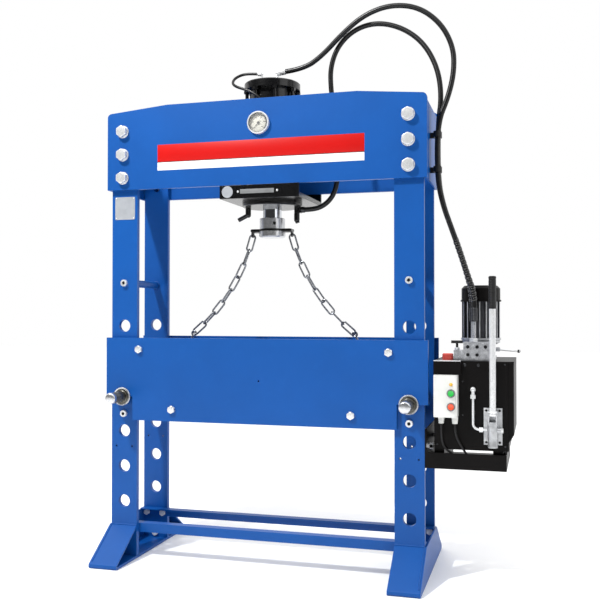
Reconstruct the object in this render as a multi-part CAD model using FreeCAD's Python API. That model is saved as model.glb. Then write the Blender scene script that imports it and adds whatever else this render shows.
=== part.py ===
"""Electro-hydraulic H-frame workshop press with a chain-lifted bed and a side power pack.

Millimetres, +Z up. X runs along the press head, Y from front to back.
The model is drawn about the mid-plane of the press, and moved along X when it is saved,
so that the origin is under the middle of the whole object, on the floor.
"""
import FreeCAD, Part
import math
import os

V = FreeCAD.Vector
X_AXIS = V(1, 0, 0)
Y_AXIS = V(0, 1, 0)
Z_AXIS = V(0, 0, 1)

# ---------------------------------------------------------------- general clearances
SEAT_GAP = 0.3          # between pieces that rest on or beside each other and move apart
RUNNING_FIT = 0.05      # radial play of a sliding or turning fit
BOLT_PLAY = 0.5         # radial play of a bolt in its hole

# ---------------------------------------------------------------- frame
UPRIGHT_OUTER = 700.0   # mid-plane to the outer edge of an upright
UPRIGHT_WIDTH = 123.0
UPRIGHT_THICK = 22.0
UPRIGHT_FACE = 172.0    # mid-depth to the outer face of an upright
UPRIGHT_X = UPRIGHT_OUTER - UPRIGHT_WIDTH / 2
UPRIGHT_INNER = UPRIGHT_OUTER - UPRIGHT_WIDTH
UPRIGHT_BACK = UPRIGHT_FACE - UPRIGHT_THICK
PIN_HOLE_D = 55.0
PIN_HOLE_PITCH = 156.0
PIN_HOLE_LOW = 252.0
PIN_HOLE_COUNT = 6
PIN_HOLE_USED = 3       # the pair of holes that the pins are in, counted from the lowest
LUG_HOLE_D = 9.0
LUG_HOLE_SPREAD = 38.0
LUG_HOLE_Z = 496.0

FOOT_BASE = 12.0        # thickness of the sole
FOOT_SHEET = 8.0        # thickness of the slopes and the side plate
FOOT_REACH = 360.0      # mid-depth to the toe
FOOT_TOP = 146.0
FOOT_TOE = 18.0
FOOT_ROUND = 8.0        # of the folded edge at the toe

STRETCHER_LEG = 40.0
STRETCHER_THICK = 6.0
STRETCHER_TOP = 153.0
STRETCHER_BOLT_SPREAD = 41.0
STRETCHER_BOLT_Z = STRETCHER_TOP - 23.0
STRETCHER_BOLT_D = 20.0
STRETCHER_BOLT_AF = 30.0
STRETCHER_BOLT_HEAD = 13.0
STRETCHER_BOLT_GRIP = UPRIGHT_THICK - 5.0   # how deep a bolt is screwed into an upright
FOOT_BOLT_Z = 32.0

SPACER_D = 34.0
SPACER_HEIGHTS = (641.0, 1223.0)
TIE_BOLT_D = 20.0
SPACER_BORE_D = TIE_BOLT_D + 1.0
TIE_BOLT_HEAD = 14.0
TIE_BOLT_TAIL = 4.0

HEAD_OVERHANG = 15.0    # how far a head plate stands past the uprights
HEAD_HALF = UPRIGHT_OUTER + HEAD_OVERHANG
HEAD_THICK = 20.0
HEAD_BOTTOM = 1637.5
HEAD_HEIGHT = 368.5
HEAD_TOP = HEAD_BOTTOM + HEAD_HEIGHT
HEAD_END_DROP = 26.0    # how much lower the top edge is at its ends
HEAD_END_TOP = HEAD_TOP - HEAD_END_DROP
HEAD_FLAT = HEAD_HALF - 289.0   # half of the level stretch of the top edge
HEAD_CORNER = 20.0
HEAD_FACE = UPRIGHT_FACE + HEAD_THICK
HEAD_BOLT_D = 30.0
HEAD_BOLT_AF = 46.0
HEAD_BOLT_HEAD = 19.0
HEAD_WASHER_D = 56.0
HEAD_WASHER = 5.0
HEAD_BOLT_LOW = HEAD_BOTTOM + 52.5
HEAD_BOLT_PITCH = 103.5
HEAD_BOLT_ROWS = 3
UPRIGHT_TOP = HEAD_TOP - 34.0

# ---------------------------------------------------------------- bed
PIN_D = 52.0
PIN_COLLAR_D = 80.0
PIN_COLLAR = 8.0
PIN_GRIP_D = 48.0
PIN_GRIP = 108.0
PIN_TAIL = 16.0         # how far a pin stands out of the rear bed plate
PIN_CHAMFER = 4.0
PIN_Z = PIN_HOLE_LOW + PIN_HOLE_USED * PIN_HOLE_PITCH - (PIN_HOLE_D - PIN_D) / 2 + SEAT_GAP

BED_OVERHANG = 17.0     # how far a bed plate stands past the uprights
BED_HALF = UPRIGHT_OUTER + BED_OVERHANG
BED_THICK = 20.0
BED_BELOW_PINS = 103.8
BED_HEIGHT = 364.0
BED_BOTTOM = PIN_Z - BED_BELOW_PINS
BED_TOP = BED_BOTTOM + BED_HEIGHT
BED_NOTCH = UPRIGHT_INNER + 13.0    # mid-plane to the step over the pins
BED_FACE = UPRIGHT_FACE + BED_THICK
BED_HOLE_D = 9.0
BED_HOLE_Z = BED_BOTTOM + 185.0
BED_BOLT_AF = 30.0
BED_BOLT_HEAD = 13.0
BED_BOLT_TAIL = 4.0
BED_TUBE_D = 27.0
BED_TIES = ((UPRIGHT_INNER - 20.0, BED_TOP - 51.0), (UPRIGHT_INNER - 177.0, BED_BOTTOM + 52.0))
CHAIN_BAR_D = 24.0
CHAIN_BAR_BELOW = 35.4  # top edge of the bed to the middle of a chain bar
CHAIN_BAR_Z = BED_TOP - CHAIN_BAR_BELOW

# ---------------------------------------------------------------- cylinder and carriage
CARRIAGE_HALF = 178.0
CARRIAGE_BAR = 12.0
CARRIAGE_BOTTOM = HEAD_BOTTOM - 57.5
CARRIAGE_PLATE = 20.0
CARRIAGE_TOP = CARRIAGE_BOTTOM + CARRIAGE_PLATE
BARREL = 479.0
CYL_OUTER_R = 102.0
CYL_WALL = 22.0
CYL_BORE_R = CYL_OUTER_R - CYL_WALL
CYL_TOP = CARRIAGE_TOP + BARREL
CAP_R = CYL_OUTER_R + 23.0
CAP_THICK = 33.0
CAP_TOP = CYL_TOP + CAP_THICK
CAP_SPIGOT = 19.0
CAP_CHAMFER = 4.0
GLAND_R = CYL_OUTER_R + 32.0
GLAND_THICK = 20.0
GLAND_SPIGOT = 60.0
GLAND_Z = CARRIAGE_BOTTOM - GLAND_THICK
HOOK_ROD_R = 10.0
HOOK_TOE_R = HOOK_ROD_R - 2.0
HOOK_INSET = 20.0
HOOK_DROP = 30.0
HOOK_LEFT = (46.0, 22.0)    # how far the left hook's end goes out, and down
HOOK_RIGHT = (4.0, 14.0)
TIE_ROD_R = 8.0
TIE_ROD_CIRCLE = CYL_OUTER_R + 11.5
TIE_ROD_COUNT = 8
TIE_ROD_SEAT = 6.0      # what is left under a tie rod in the gland
TIE_ROD_TAP = 20.0      # how deep a tie rod goes into the cap
TIE_NUT_AF = 24.0
TIE_NUT = 13.0
RAM_R = CYL_BORE_R - 37.5
PISTON_LENGTH = 70.0
PISTON_TOP = CYL_TOP - CAP_SPIGOT - 5.0
ROD_NECK_R = RAM_R - 17.5
NOSE_R = RAM_R + 16.5
NOSE_CHAMFER = 5.0
NOSE_BOTTOM = CARRIAGE_BOTTOM - 155.0
NOSE_THICK = 27.0
NOSE_TOP = NOSE_BOTTOM + NOSE_THICK
NOSE_SPIGOT_R = RAM_R - 22.5
NOSE_SPIGOT = 30.0
NOSE_SOCKET = NOSE_SPIGOT + 2.0
CHAIN_PLATE_HALF = NOSE_R + 36.0
CHAIN_PLATE_DEPTH = 46.0
CHAIN_PLATE = 10.0
COLLAR_R = RAM_R + 14.5
COLLAR = 48.0
COLLAR_CHAMFER = 2.0
COLLAR_SCREW_R = 7.0
COLLAR_SCREW_TURN = 27.5    # degrees from the front towards the power pack
HANGER_LUG = 6.0        # thickness of the eye plates that carry the chains
HANGER_WIDTH = 28.0
HANGER_DROP = 25.0
HANGER_EYE_R = 7.6
HANGER_RIM = 5.4        # what is left of the eye plate under its hole

# ---------------------------------------------------------------- chains
LINK_WIRE = 8.0
LINK_PITCH = 52.0       # inner length of a link
LINK_INNER = 12.0       # inner width of a link
LINK_RISE = 44.6        # height that each link spans on the slant
LINK_COUNT = round((NOSE_BOTTOM - BED_TOP) / LINK_RISE)
CHAIN_SIDES = 8         # flats of the rolled wire
CHAIN_STEP_DEG = 30.0   # bend between two straight facets
HOOK_WIRE = 9.0
HOOK_EYE_R = 10.0
HOOK_REACH = 68.0
HOOK_SHANK = 18.0
HOOK_TIP = 8.0

# ---------------------------------------------------------------- gauge
GAUGE_Z = HEAD_BOTTOM + 261.5
GAUGE_BEZEL_R = 49.0
GAUGE_BEZEL_CHAMFER = 3.0
GAUGE_CASE_R = 42.5
GAUGE_FRONT = 16.0      # how far the bezel stands out of the head plate
GAUGE_DEPTH = 34.0      # how far the case goes in behind the face of the head plate
GAUGE_DIAL = 2.0        # how far the dial lies behind the face of the head plate
GAUGE_WALL = 3.0
GAUGE_GLASS = 2.0
GAUGE_STEM_R = 8.0
GAUGE_STEM = 30.0
NEEDLE_LENGTH = 32.0
NEEDLE_TAIL = 12.0
NEEDLE_WIDTH = 4.0
NEEDLE_THICK = 1.2
NEEDLE_PROUD = 5.0      # how far the needle stands before the face of the head plate
NEEDLE_PIN_R = 2.0
NEEDLE_BEARING = 8.0
NEEDLE_REST = 225.0     # degrees from +X, seen from the front

# ---------------------------------------------------------------- power pack
SHELF_LEFT = UPRIGHT_OUTER
SHELF_LENGTH = 322.0
SHELF_RIGHT = SHELF_LEFT + SHELF_LENGTH
SHELF_SHEET = 6.0
SHELF_BOTTOM = 464.0
SHELF_LIP = 64.0
SHELF_LEDGE = 46.0
SHELF_ARM_TOP = SHELF_BOTTOM + 156.0
STUD_D = 18.0
STUD_LENGTH = 28.0
STUD_NUT = 14.0
STUD_NUT_AF = 24.0
STUD_INSIDE = 8.0       # how far a stud ends inside its cap nut
STUD_Z = SHELF_BOTTOM + 89.0

TANK_GAP = 36.0
TANK_LENGTH = 314.0
TANK_HEIGHT = 350.0
TANK_LEFT = SHELF_LEFT + TANK_GAP
TANK_RIGHT = TANK_LEFT + TANK_LENGTH
TANK_FRONT = -144.0
TANK_BACK = 224.0
TANK_BOTTOM = SHELF_BOTTOM + 76.0
TANK_TOP = TANK_BOTTOM + TANK_HEIGHT
TANK_CHAMFER_X = 20.0
TANK_CHAMFER_Z = 30.0
TANK_WAIST = TANK_BOTTOM + 35.0
TANK_EDGE = 10.0
RAIL_WIDTH = 40.0
RAIL_INSET = 22.0
COVER_LENGTH = 290.0
COVER_RIGHT = TANK_LEFT + COVER_LENGTH
COVER_THICK = 6.0
COVER_FACE = TANK_FRONT - COVER_THICK
LID_THICK = 6.0
LID_TOP = TANK_TOP + LID_THICK
LID_LIP = 3.0
SHELF_FRONT = TANK_FRONT - 28.0
SHELF_BACK = TANK_BACK + 6.0

MOTOR_X = TANK_LEFT + 174.0
MOTOR_Y = TANK_FRONT + 184.0
MOTOR_CORE_R = 66.0
MOTOR_FIN_R = 79.0
MOTOR_FIN_ROOT = 3.0    # how deep a fin starts in the core
MOTOR_FIN = 5.0
MOTOR_FINS = 18
BELL_HEIGHT = 79.0
MOTOR_HEIGHT = 162.0
MOTOR_BOTTOM = LID_TOP + BELL_HEIGHT
MOTOR_TOP = MOTOR_BOTTOM + MOTOR_HEIGHT
MOTOR_END = 16.0        # thickness of the motor's end shields
ROTOR_R = 44.0
ROTOR_PLAY = 6.0        # between the rotor and an end shield
SHAFT_R = 9.0
SHAFT_TAIL = 30.0
FAN_COVER_R = 80.0
FAN_COVER_HEIGHT = 67.0
FAN_COVER_TOP = MOTOR_TOP + FAN_COVER_HEIGHT
FAN_COVER_WALL = 2.5
FAN_COVER_CHAMFER = 12.0
FAN_COVER_SEAT = 6.0    # how far the cowl turns in over the fins
FAN_RING_R = 84.0
FAN_RING = 7.0
FAN_SLOTS = 10
FAN_SLOT = 6.0
FAN_BLADES = 6
FAN_BLADE = 2.0
FAN_R = 58.0
FAN_HUB_R = 18.0
FAN_BOTTOM = MOTOR_TOP + 15.0
FAN_HEIGHT = 26.0
BELL_R = 60.0
BELL_BORE_R = 25.0
BELL_FLANGE = 9.0

VALVE_LEFT = TANK_LEFT + 75.0
VALVE_STEP = VALVE_LEFT + 39.0
VALVE_LENGTH = 164.0
VALVE_RIGHT = VALVE_LEFT + VALVE_LENGTH
VALVE_FRONT = TANK_FRONT + 29.0
VALVE_BACK = TANK_FRONT + 102.0
VALVE_LOW_TOP = LID_TOP + 42.0
VALVE_TOP = LID_TOP + 76.0
STUB_R = 6.0
STUB_NUT_AF = 24.0
STUB_NUT = 14.0
VALVE_LEVER_Z = LID_TOP + 46.0
VALVE_LEVER_Y = TANK_FRONT + 62.0
VALVE_LEVER_R = 4.0
VALVE_LEVER_DROP = 7.0
VALVE_LEVER_PAST = 18.0     # from the end of the tank to the middle of the ball
VALVE_BALL_R = 7.0
VALVE_EYE_R = 9.0
VALVE_EYE_GAP = 3.0
VALVE_CLEVIS = 6.0
VALVE_EAR = 4.0
VALVE_EAR_HALF = 8.0
VALVE_EAR_REACH = 6.0
VALVE_PIN_R = 3.0
KNOB_X = VALVE_LEFT + 11.0
KNOB_Z = VALVE_LOW_TOP + 33.0
KNOB_BAR = 47.0
KNOB_R = 6.0
KNOB_STEM_R = 5.0
KNOB_STEM_DEEP = 16.0
KNOB_HOLE_DEEP = 20.0
CAP_X = TANK_LEFT + 50.0
CAP_Y = TANK_FRONT + 44.0
FILLER_R = 22.0
FILLER_HEIGHT = 28.0
FILLER_CHAMFER = 3.0
FILLER_NECK_R = 15.0
FILLER_NECK = 12.0
FILLER_GRIPS = 12
FILLER_GRIP_R = 2.5
FILLER_GRIP_STOP = 6.0

PUMP_X = TANK_LEFT + 233.0
PUMP_Y = TANK_FRONT - 34.0
PUMP_PLATE_HALF = 36.0
PUMP_PLATE = 8.0
PUMP_BOTTOM = TANK_BOTTOM + 18.0
PUMP_PLATE_BOTTOM = TANK_BOTTOM + 26.0
PUMP_PLATE_TOP = TANK_BOTTOM + 172.0
PUMP_PLATE_HOLE_R = 5.0
PUMP_PLATE_INSET = 10.0
PUMP_BODY_R = 19.0
PUMP_BODY_TOP = TANK_BOTTOM + 120.0
PUMP_WEB_HALF = 10.0
PUMP_PIVOT_Z = TANK_BOTTOM + 150.0
PUMP_PIVOT_R = 6.0
PUMP_PIVOT_HEAD = 3.0
PUMP_EAR = 6.0
PUMP_EAR_R = 16.0
PUMP_EAR_ROOT = 12.0
PUMP_EYE_R = 13.0
PUMP_EYE_WIDTH = 24.0
PUMP_NECK = 18.0
PUMP_NECK_RISE = 26.0
PUMP_LUG_R = 10.0
PUMP_LUG = 32.0
PUMP_LUG_Z = TANK_BOTTOM + 86.0
LEVER_R = 13.0
LEVER_LENGTH = 538.0
LEVER_TOP = PUMP_PIVOT_Z + LEVER_LENGTH
GRIP_R = 14.5
GRIP_TOP = LEVER_TOP + 8.0
GRIP_LENGTH = 130.0
GRIP_BOTTOM = GRIP_TOP - GRIP_LENGTH
GRIP_CHAMFER = 4.0
PIPE_R = 5.0
PIPE_X = TANK_LEFT + 156.0
PIPE_Y = TANK_FRONT - 22.0
PIPE_TOP = TANK_BOTTOM + 208.0
PIPE_BEND = 24.0
PIPE_NUT_AF = 18.0
PIPE_TOP_NUT_AF = 20.0
PIPE_NUT = 15.0
PIPE_GAP = 4.0          # between the pipe's end and the pump's barrel
ELBOW_R = 11.0
ELBOW_WALL = 2.0
ELBOW_Z = PIPE_TOP + 36.0

STARTER_LEFT = TANK_LEFT + 4.0
STARTER_WIDTH = 94.0
STARTER_HEIGHT = 167.0
STARTER_RIGHT = STARTER_LEFT + STARTER_WIDTH
STARTER_BOTTOM = SHELF_BOTTOM + 211.0
STARTER_TOP = STARTER_BOTTOM + STARTER_HEIGHT
STARTER_FRONT = TANK_FRONT - 71.0
STARTER_EDGE = 7.0
BUTTON_X = STARTER_LEFT + 70.0
BUTTON_HEIGHTS = {"stop_button": STARTER_BOTTOM + 43.0, "start_button": STARTER_BOTTOM + 96.0}
BUTTON_R = 12.0
BUTTON_DISH = 1.0
BUTTON_DISH_EDGE = 4.0
BUTTON_CHAMFER = 1.5
BUTTON_RING_R = 16.5
BUTTON_RING = 4.0
BUTTON_PROUD = 7.0
BUTTON_DEEP = 16.0
BUTTON_TRAVEL = 4.0
BUTTON_FLOOR = 2.0
GLAND_NUT_R = 11.0
BRACKET_TOP = LID_TOP
BRACKET_RIGHT = TANK_LEFT + 109.0
BRACKET_DEPTH = 28.0

# ---------------------------------------------------------------- hoses
HOSE_D = 22.0
GAUGE_HOSE_D = 12.0
CABLE_D = 9.0
FERRULE_D = 27.0
FERRULE = 56.0
GAUGE_FERRULE_D = 16.0
GAUGE_FERRULE = 12.0
UNION_REACH = 40.0
GAUGE_UNION_REACH = 20.0
UNION_NECK = 0.42       # of the union's diameter
CLIP_HEIGHTS = (HEAD_BOTTOM + 30.5, HEAD_BOTTOM + 174.5)
CLIP_WIDTH = 24.0
CLIP_BAND = 4.0
CLIP_PLAY = 1.2
CLIP_X = HEAD_HALF + 32.0
SUPPLY_Y = -113.0
RETURN_Y = -88.0
PORT_Z = GLAND_Z - 14.0     # of the cylinder's lower port
PORT_BLOCK = 28.0
HOSE_FOOT_Z = VALVE_TOP + 138.0     # where the two big hoses end in their ferrules
SUPPLY_FOOT = (VALVE_LEFT + 82.0, TANK_FRONT + 54.0)
RETURN_FOOT = (VALVE_LEFT + 72.0, TANK_FRONT + 82.0)


def from_place(x, y, z, offsets):
    """Route points given as offsets from the place that they keep to."""
    return [(x + dx, y + dy, z + dz) for dx, dy, dz in offsets]


SUPPLY_ROUTE = from_place(0, 0, CAP_TOP, [
    (62, 0, 54), (150, -2, 60), (236, -12, 110), (330, -28, 194), (430, -44, 260),
    (545, -58, 286)])
SUPPLY_ROUTE += from_place(CLIP_X, SUPPLY_Y, HEAD_BOTTOM, [
    (-82, 41, 734.5), (13, 27, 652.5), (65, 16, 544.5), (68, 8, 440.5), (45, 3, 338.5),
    (0, 0, 230.5), (0, 0, 2.5)])
SUPPLY_ROUTE += from_place(*SUPPLY_FOOT, HOSE_FOOT_Z, [
    (-124, -20, 422), (-91, -15, 328), (-57, -8, 230), (-27, -2, 134), (0, 0, 56), (0, 0, 0)])
RETURN_ROUTE = from_place(0, 0, PORT_Z, [
    (150, 0, 0), (197, 0, 0), (241, -1, 17), (275, -3, 49), (295, -6, 92), (304, -9, 159),
    (308, -11, 239), (301, -12, 329), (287, -10, 424), (271, -6, 524)])
RETURN_ROUTE += from_place(0, 0, CAP_TOP, [
    (268, -2, 58), (303, -2, 150), (380, -8, 214), (482, -18, 230), (592, -32, 192)])
RETURN_ROUTE += from_place(CLIP_X, RETURN_Y, HEAD_BOTTOM, [
    (-63, 38, 588.5), (-3, 18, 472.5), (15, 4, 347.5), (0, 0, 230.5), (0, 0, 2.5)])
RETURN_ROUTE += from_place(*RETURN_FOOT, HOSE_FOOT_Z, [
    (-115, -23, 422), (-82, -16, 328), (-48, -8, 230), (-20, -2, 134), (0, 0, 56), (0, 0, 0)])
GAUGE_ROUTE = from_place(0, 0, CAP_TOP, [
    (-45, -70, 32), (-85, -69, 37), (-123, -70, 34), (-150, -87, 14), (-150, -111, -14),
    (-124, -128, -34), (-85, -137, -49), (-48, -144, -65)])
GAUGE_ROUTE += from_place(0, 0, GAUGE_Z, [
    (-16, -148, 124), (2, -142, 94), (3, -130, 64), (0, -118, 40), (0, -118, 18)])
STARTER_CABLE_ROUTE = from_place(STARTER_LEFT, TANK_FRONT, SHELF_BOTTOM, [
    (28, -38, 184), (28, -38, 156), (28, -31, 128), (31, -22, 101), (42, -15, 79),
    (62, -11, 65), (80, -7, 48), (87, -6, 28), (87, -6, 11)])
MOTOR_CABLE_ROUTE = from_place(STARTER_LEFT, TANK_FRONT, SHELF_BOTTOM, [
    (82, -38, 184), (82, -38, 158), (88, -33, 130), (100, -26, 102), (116, -19, 76),
    (131, -12, 52), (140, -6, 30), (140, -6, 11)])

RIGHT_END = TANK_RIGHT + VALVE_LEVER_PAST + VALVE_BALL_R
MIDDLE = (RIGHT_END - BED_HALF) / 2    # where the middle of the whole object is along X


# ---------------------------------------------------------------- shape helpers
def box(x0, x1, y0, y1, z0, z1):
    """A block between two corners."""
    return Part.makeBox(x1 - x0, y1 - y0, z1 - z0, V(x0, y0, z0))


def rod(radius, start, end):
    """A round bar from one point to another."""
    a = V(*start)
    b = V(*end)
    return Part.makeCylinder(radius, (b - a).Length, a, b - a)


def tube(outer, inner, start, end):
    """A round bar with a bore right through."""
    return rod(outer, start, end).cut(rod(inner, start, end))


def hexagon(across_flats, start, end):
    """A hexagonal bar from one point to another, with its corners to the side."""
    a = V(*start)
    b = V(*end)
    axis = (b - a).normalize()
    side = axis.cross(Z_AXIS)
    if side.Length < 0.5:
        side = axis.cross(X_AXIS)
    side.normalize()
    up = side.cross(axis)
    radius = across_flats / math.sqrt(3)
    corners = []
    for k in range(7):
        angle = math.radians(60 * k)
        corners.append(a + side * (radius * math.cos(angle)) + up * (radius * math.sin(angle)))
    return Part.Face(Part.makePolygon(corners)).extrude(V(*end) - a)


def plate_xz(points, y0, y1):
    """A plate of the given outline in X and Z, from y0 to y1."""
    corners = [V(x, y0, z) for x, z in points]
    return Part.Face(Part.makePolygon(corners + corners[:1])).extrude(V(0, y1 - y0, 0))


def plate_yz(points, x0, x1):
    """A plate of the given outline in Y and Z, from x0 to x1."""
    corners = [V(x0, y, z) for y, z in points]
    return Part.Face(Part.makePolygon(corners + corners[:1])).extrude(V(x1 - x0, 0, 0))


def turned(profile, x, y):
    """A turned piece on the vertical line through x, y, from its radius and height pairs."""
    corners = [V(x + r, y, z) for r, z in profile]
    face = Part.Face(Part.makePolygon(corners + corners[:1]))
    return face.revolve(V(x, y, 0), Z_AXIS, 360)


def edges_where(shape, test):
    """The edges of a shape whose middle and direction pass a test."""
    chosen = []
    for edge in shape.Edges:
        along = edge.valueAt(edge.LastParameter) - edge.valueAt(edge.FirstParameter)
        if along.Length > 0.01 and test(edge.CenterOfMass, along.normalize()):
            chosen.append(edge)
    return chosen


def bolt(diameter, across_flats, head, face, inward, length):
    """A hexagon bolt: its head stands on the face point and its shank runs inward."""
    base = V(*face)
    top = base - V(*inward) * head
    end = base + V(*inward) * length
    shape = hexagon(across_flats, tuple(top), tuple(base))
    return shape.fuse(rod(diameter / 2, tuple(base), tuple(end))).removeSplitter()


def nut(diameter, across_flats, height, face, outward):
    """A hexagon nut that stands on the face point, bored for its bolt."""
    top = V(*face) + V(*outward) * height
    blank = hexagon(across_flats, face, tuple(top))
    return blank.cut(rod(diameter / 2 + SEAT_GAP / 2, face, tuple(top)))


def tube_route(points, diameter, name):
    """A hose along straight runs joined by tangent arcs, with its radii and volume checked."""
    corners = [V(*p) for p in points]
    edges = []
    radii = []
    start = corners[0]
    for before, here, after in zip(corners, corners[1:], corners[2:]):
        into = here - before
        out = after - here
        shorter = min(into.Length, out.Length)
        half_turn = into.getAngle(out) / 2
        trim = 0.45 * shorter
        radii.append(trim / math.tan(half_turn))
        into.normalize()
        out.normalize()
        arc_start = here - into * trim
        arc_end = here + out * trim
        to_middle = (out - into).normalize()
        centre = here + to_middle * (radii[-1] / math.cos(half_turn))
        arc_middle = centre - to_middle * radii[-1]
        edges.append(Part.LineSegment(start, arc_start).toShape())
        edges.append(Part.Arc(arc_start, arc_middle, arc_end).toShape())
        start = arc_end
    edges.append(Part.LineSegment(start, corners[-1]).toShape())
    path = Part.Wire(edges)
    section = Part.Wire(Part.makeCircle(diameter / 2, corners[0], corners[1] - corners[0]))
    solid = path.makePipeShell([section], True, False)
    expected = math.pi * diameter ** 2 / 4 * path.Length
    print(name, "length", round(path.Length, 1), "least radius", round(min(radii), 1),
          "volume ratio", round(solid.Volume / expected, 4))
    return solid


def sleeve_at(route, diameter, length):
    """A crimped sleeve that carries a hose on from its last run, face to face with it."""
    end = V(*route[-1])
    run = (end - V(*route[-2])).normalize()
    return rod(diameter / 2, route[-1], tuple(end + run * length))


# ---------------------------------------------------------------- wire forms
def mitred_wire(path, normal, width, closed):
    """A wire of flat-sided section along a flat path, mitred at each corner.

    The section's flats face along the path's plane and square to it.
    """
    count = len(path)
    corner_radius = width / 2 / math.cos(math.pi / CHAIN_SIDES)
    rings = []
    for k in range(count):
        into = None
        out = None
        if closed or k > 0:
            into = (path[k] - path[k - 1]).normalize()
        if closed or k < count - 1:
            out = (path[(k + 1) % count] - path[k]).normalize()
        into = into or out
        out = out or into
        along = (into + out).normalize()
        side = along.cross(normal)
        stretch = 1 / max(0.1, along.dot(into))
        ring = []
        for j in range(CHAIN_SIDES):
            angle = 2 * math.pi * (j + 0.5) / CHAIN_SIDES
            offset = side * (corner_radius * math.cos(angle) * stretch)
            ring.append(path[k] + offset + normal * (corner_radius * math.sin(angle)))
        rings.append(ring)
    faces = []
    for k in range(count if closed else count - 1):
        here = rings[k]
        there = rings[(k + 1) % count]
        for j in range(CHAIN_SIDES):
            m = (j + 1) % CHAIN_SIDES
            corners = [here[j], here[m], there[m], there[j], here[j]]
            faces.append(Part.Face(Part.makePolygon(corners)))
    if not closed:
        for ring in (rings[0], rings[-1]):
            faces.append(Part.Face(Part.makePolygon(ring + ring[:1])))
    solid = Part.Solid(Part.Shell(faces))
    if solid.Volume < 0:
        solid.reverse()
    return solid


def bend(centre, first, second, radius, start_deg, end_deg):
    """Corners of a path whose straight facets touch a circle, between two tangent directions."""
    steps = round(abs(end_deg - start_deg) / CHAIN_STEP_DEG)
    step = math.radians(end_deg - start_deg) / steps
    reach = radius / math.cos(step / 2)
    corners = []
    for k in range(steps):
        angle = math.radians(start_deg) + (k + 0.5) * step
        corners.append(centre + first * (reach * math.cos(angle)) + second * (reach * math.sin(angle)))
    return corners


def chain_link(centre, along, across):
    """One long link about its centre."""
    half = (LINK_PITCH - LINK_INNER) / 2
    radius = (LINK_INNER + LINK_WIRE) / 2
    path = bend(centre + along * half, across, along, radius, 0, 180)
    path += bend(centre - along * half, across, along, radius, 180, 360)
    return mitred_wire(path, along.cross(across), LINK_WIRE, True)


def chain_direction(side):
    """The way a chain runs: as far out as its length lets it fall to the bar in the bed."""
    links = (LINK_COUNT - 1) * (LINK_PITCH - SEAT_GAP) + LINK_PITCH - LINK_INNER / 2
    fall = (hanger_rim(side).z - CHAIN_BAR_Z) / (rim_to_link() + links + HOOK_REACH)
    return V(side * math.sqrt(1 - fall ** 2), 0, -fall)


def hanger_rim(side):
    """The middle of the rim under an eye plate's hole."""
    return V(side * (CHAIN_PLATE_HALF - HANGER_LUG / 2), 0, NOSE_TOP - HANGER_DROP + HANGER_RIM / 2)


def rim_to_link():
    """From the middle of that rim to the centre of the first link's upper bend."""
    return LINK_INNER / 2 - math.hypot(HANGER_LUG, HANGER_RIM) / 2 - SEAT_GAP


def chain_top(side):
    """The centre of the first link's upper bend, which hangs on the rim of its eye plate."""
    return hanger_rim(side) + chain_direction(side) * rim_to_link()


def chain_hold(side):
    """The point where the hook's eye bears on the last link."""
    lengths = (LINK_PITCH - LINK_INNER) / 2 + (LINK_COUNT - 1) * (LINK_PITCH - SEAT_GAP)
    return chain_top(side) + chain_direction(side) * (lengths + LINK_PITCH / 2)


def chain_bar_centre(side):
    """The middle of the round bar in the bed that a chain's hook goes round."""
    return chain_hold(side) + chain_direction(side) * HOOK_REACH


def chain_hook(side):
    """An open hook under a chain bar, whose mouth is upward, so that the bar lifts out of it."""
    along = chain_direction(side)
    out = V(side, 0, 0)
    normal = out.cross(Z_AXIS)
    bar = chain_bar_centre(side)
    radius = CHAIN_BAR_D / 2 + SEAT_GAP + HOOK_WIRE / 2
    eye = chain_hold(side) + along * (HOOK_EYE_R - HOOK_WIRE / 2 - SEAT_GAP)
    shoulder = bar - out * radius + Z_AXIS * HOOK_SHANK
    start = eye + (shoulder - eye).normalize() * HOOK_EYE_R
    path = [start, shoulder]
    path += bend(bar, out, Z_AXIS, radius, 180, 360)
    path.append(bar + out * radius + Z_AXIS * HOOK_TIP)
    stem = mitred_wire(path, normal, HOOK_WIRE, False)
    ring = mitred_wire(bend(eye, out, Z_AXIS, HOOK_EYE_R, 0, 360), normal, HOOK_WIRE, True)
    return stem.fuse(ring).removeSplitter()


def chain(side):
    """The links of one chain, turned about each other in turn, and the hook at its end."""
    along = chain_direction(side)
    flat = V(0, 1, 0).cross(along)
    pieces = []
    for k in range(LINK_COUNT):
        reach = (LINK_PITCH - LINK_INNER) / 2 + k * (LINK_PITCH - SEAT_GAP)
        across = flat if k % 2 == 0 else Y_AXIS
        pieces.append(chain_link(chain_top(side) + along * reach, along, across))
    pieces.append(chain_hook(side))
    return Part.makeCompound(pieces)


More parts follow.
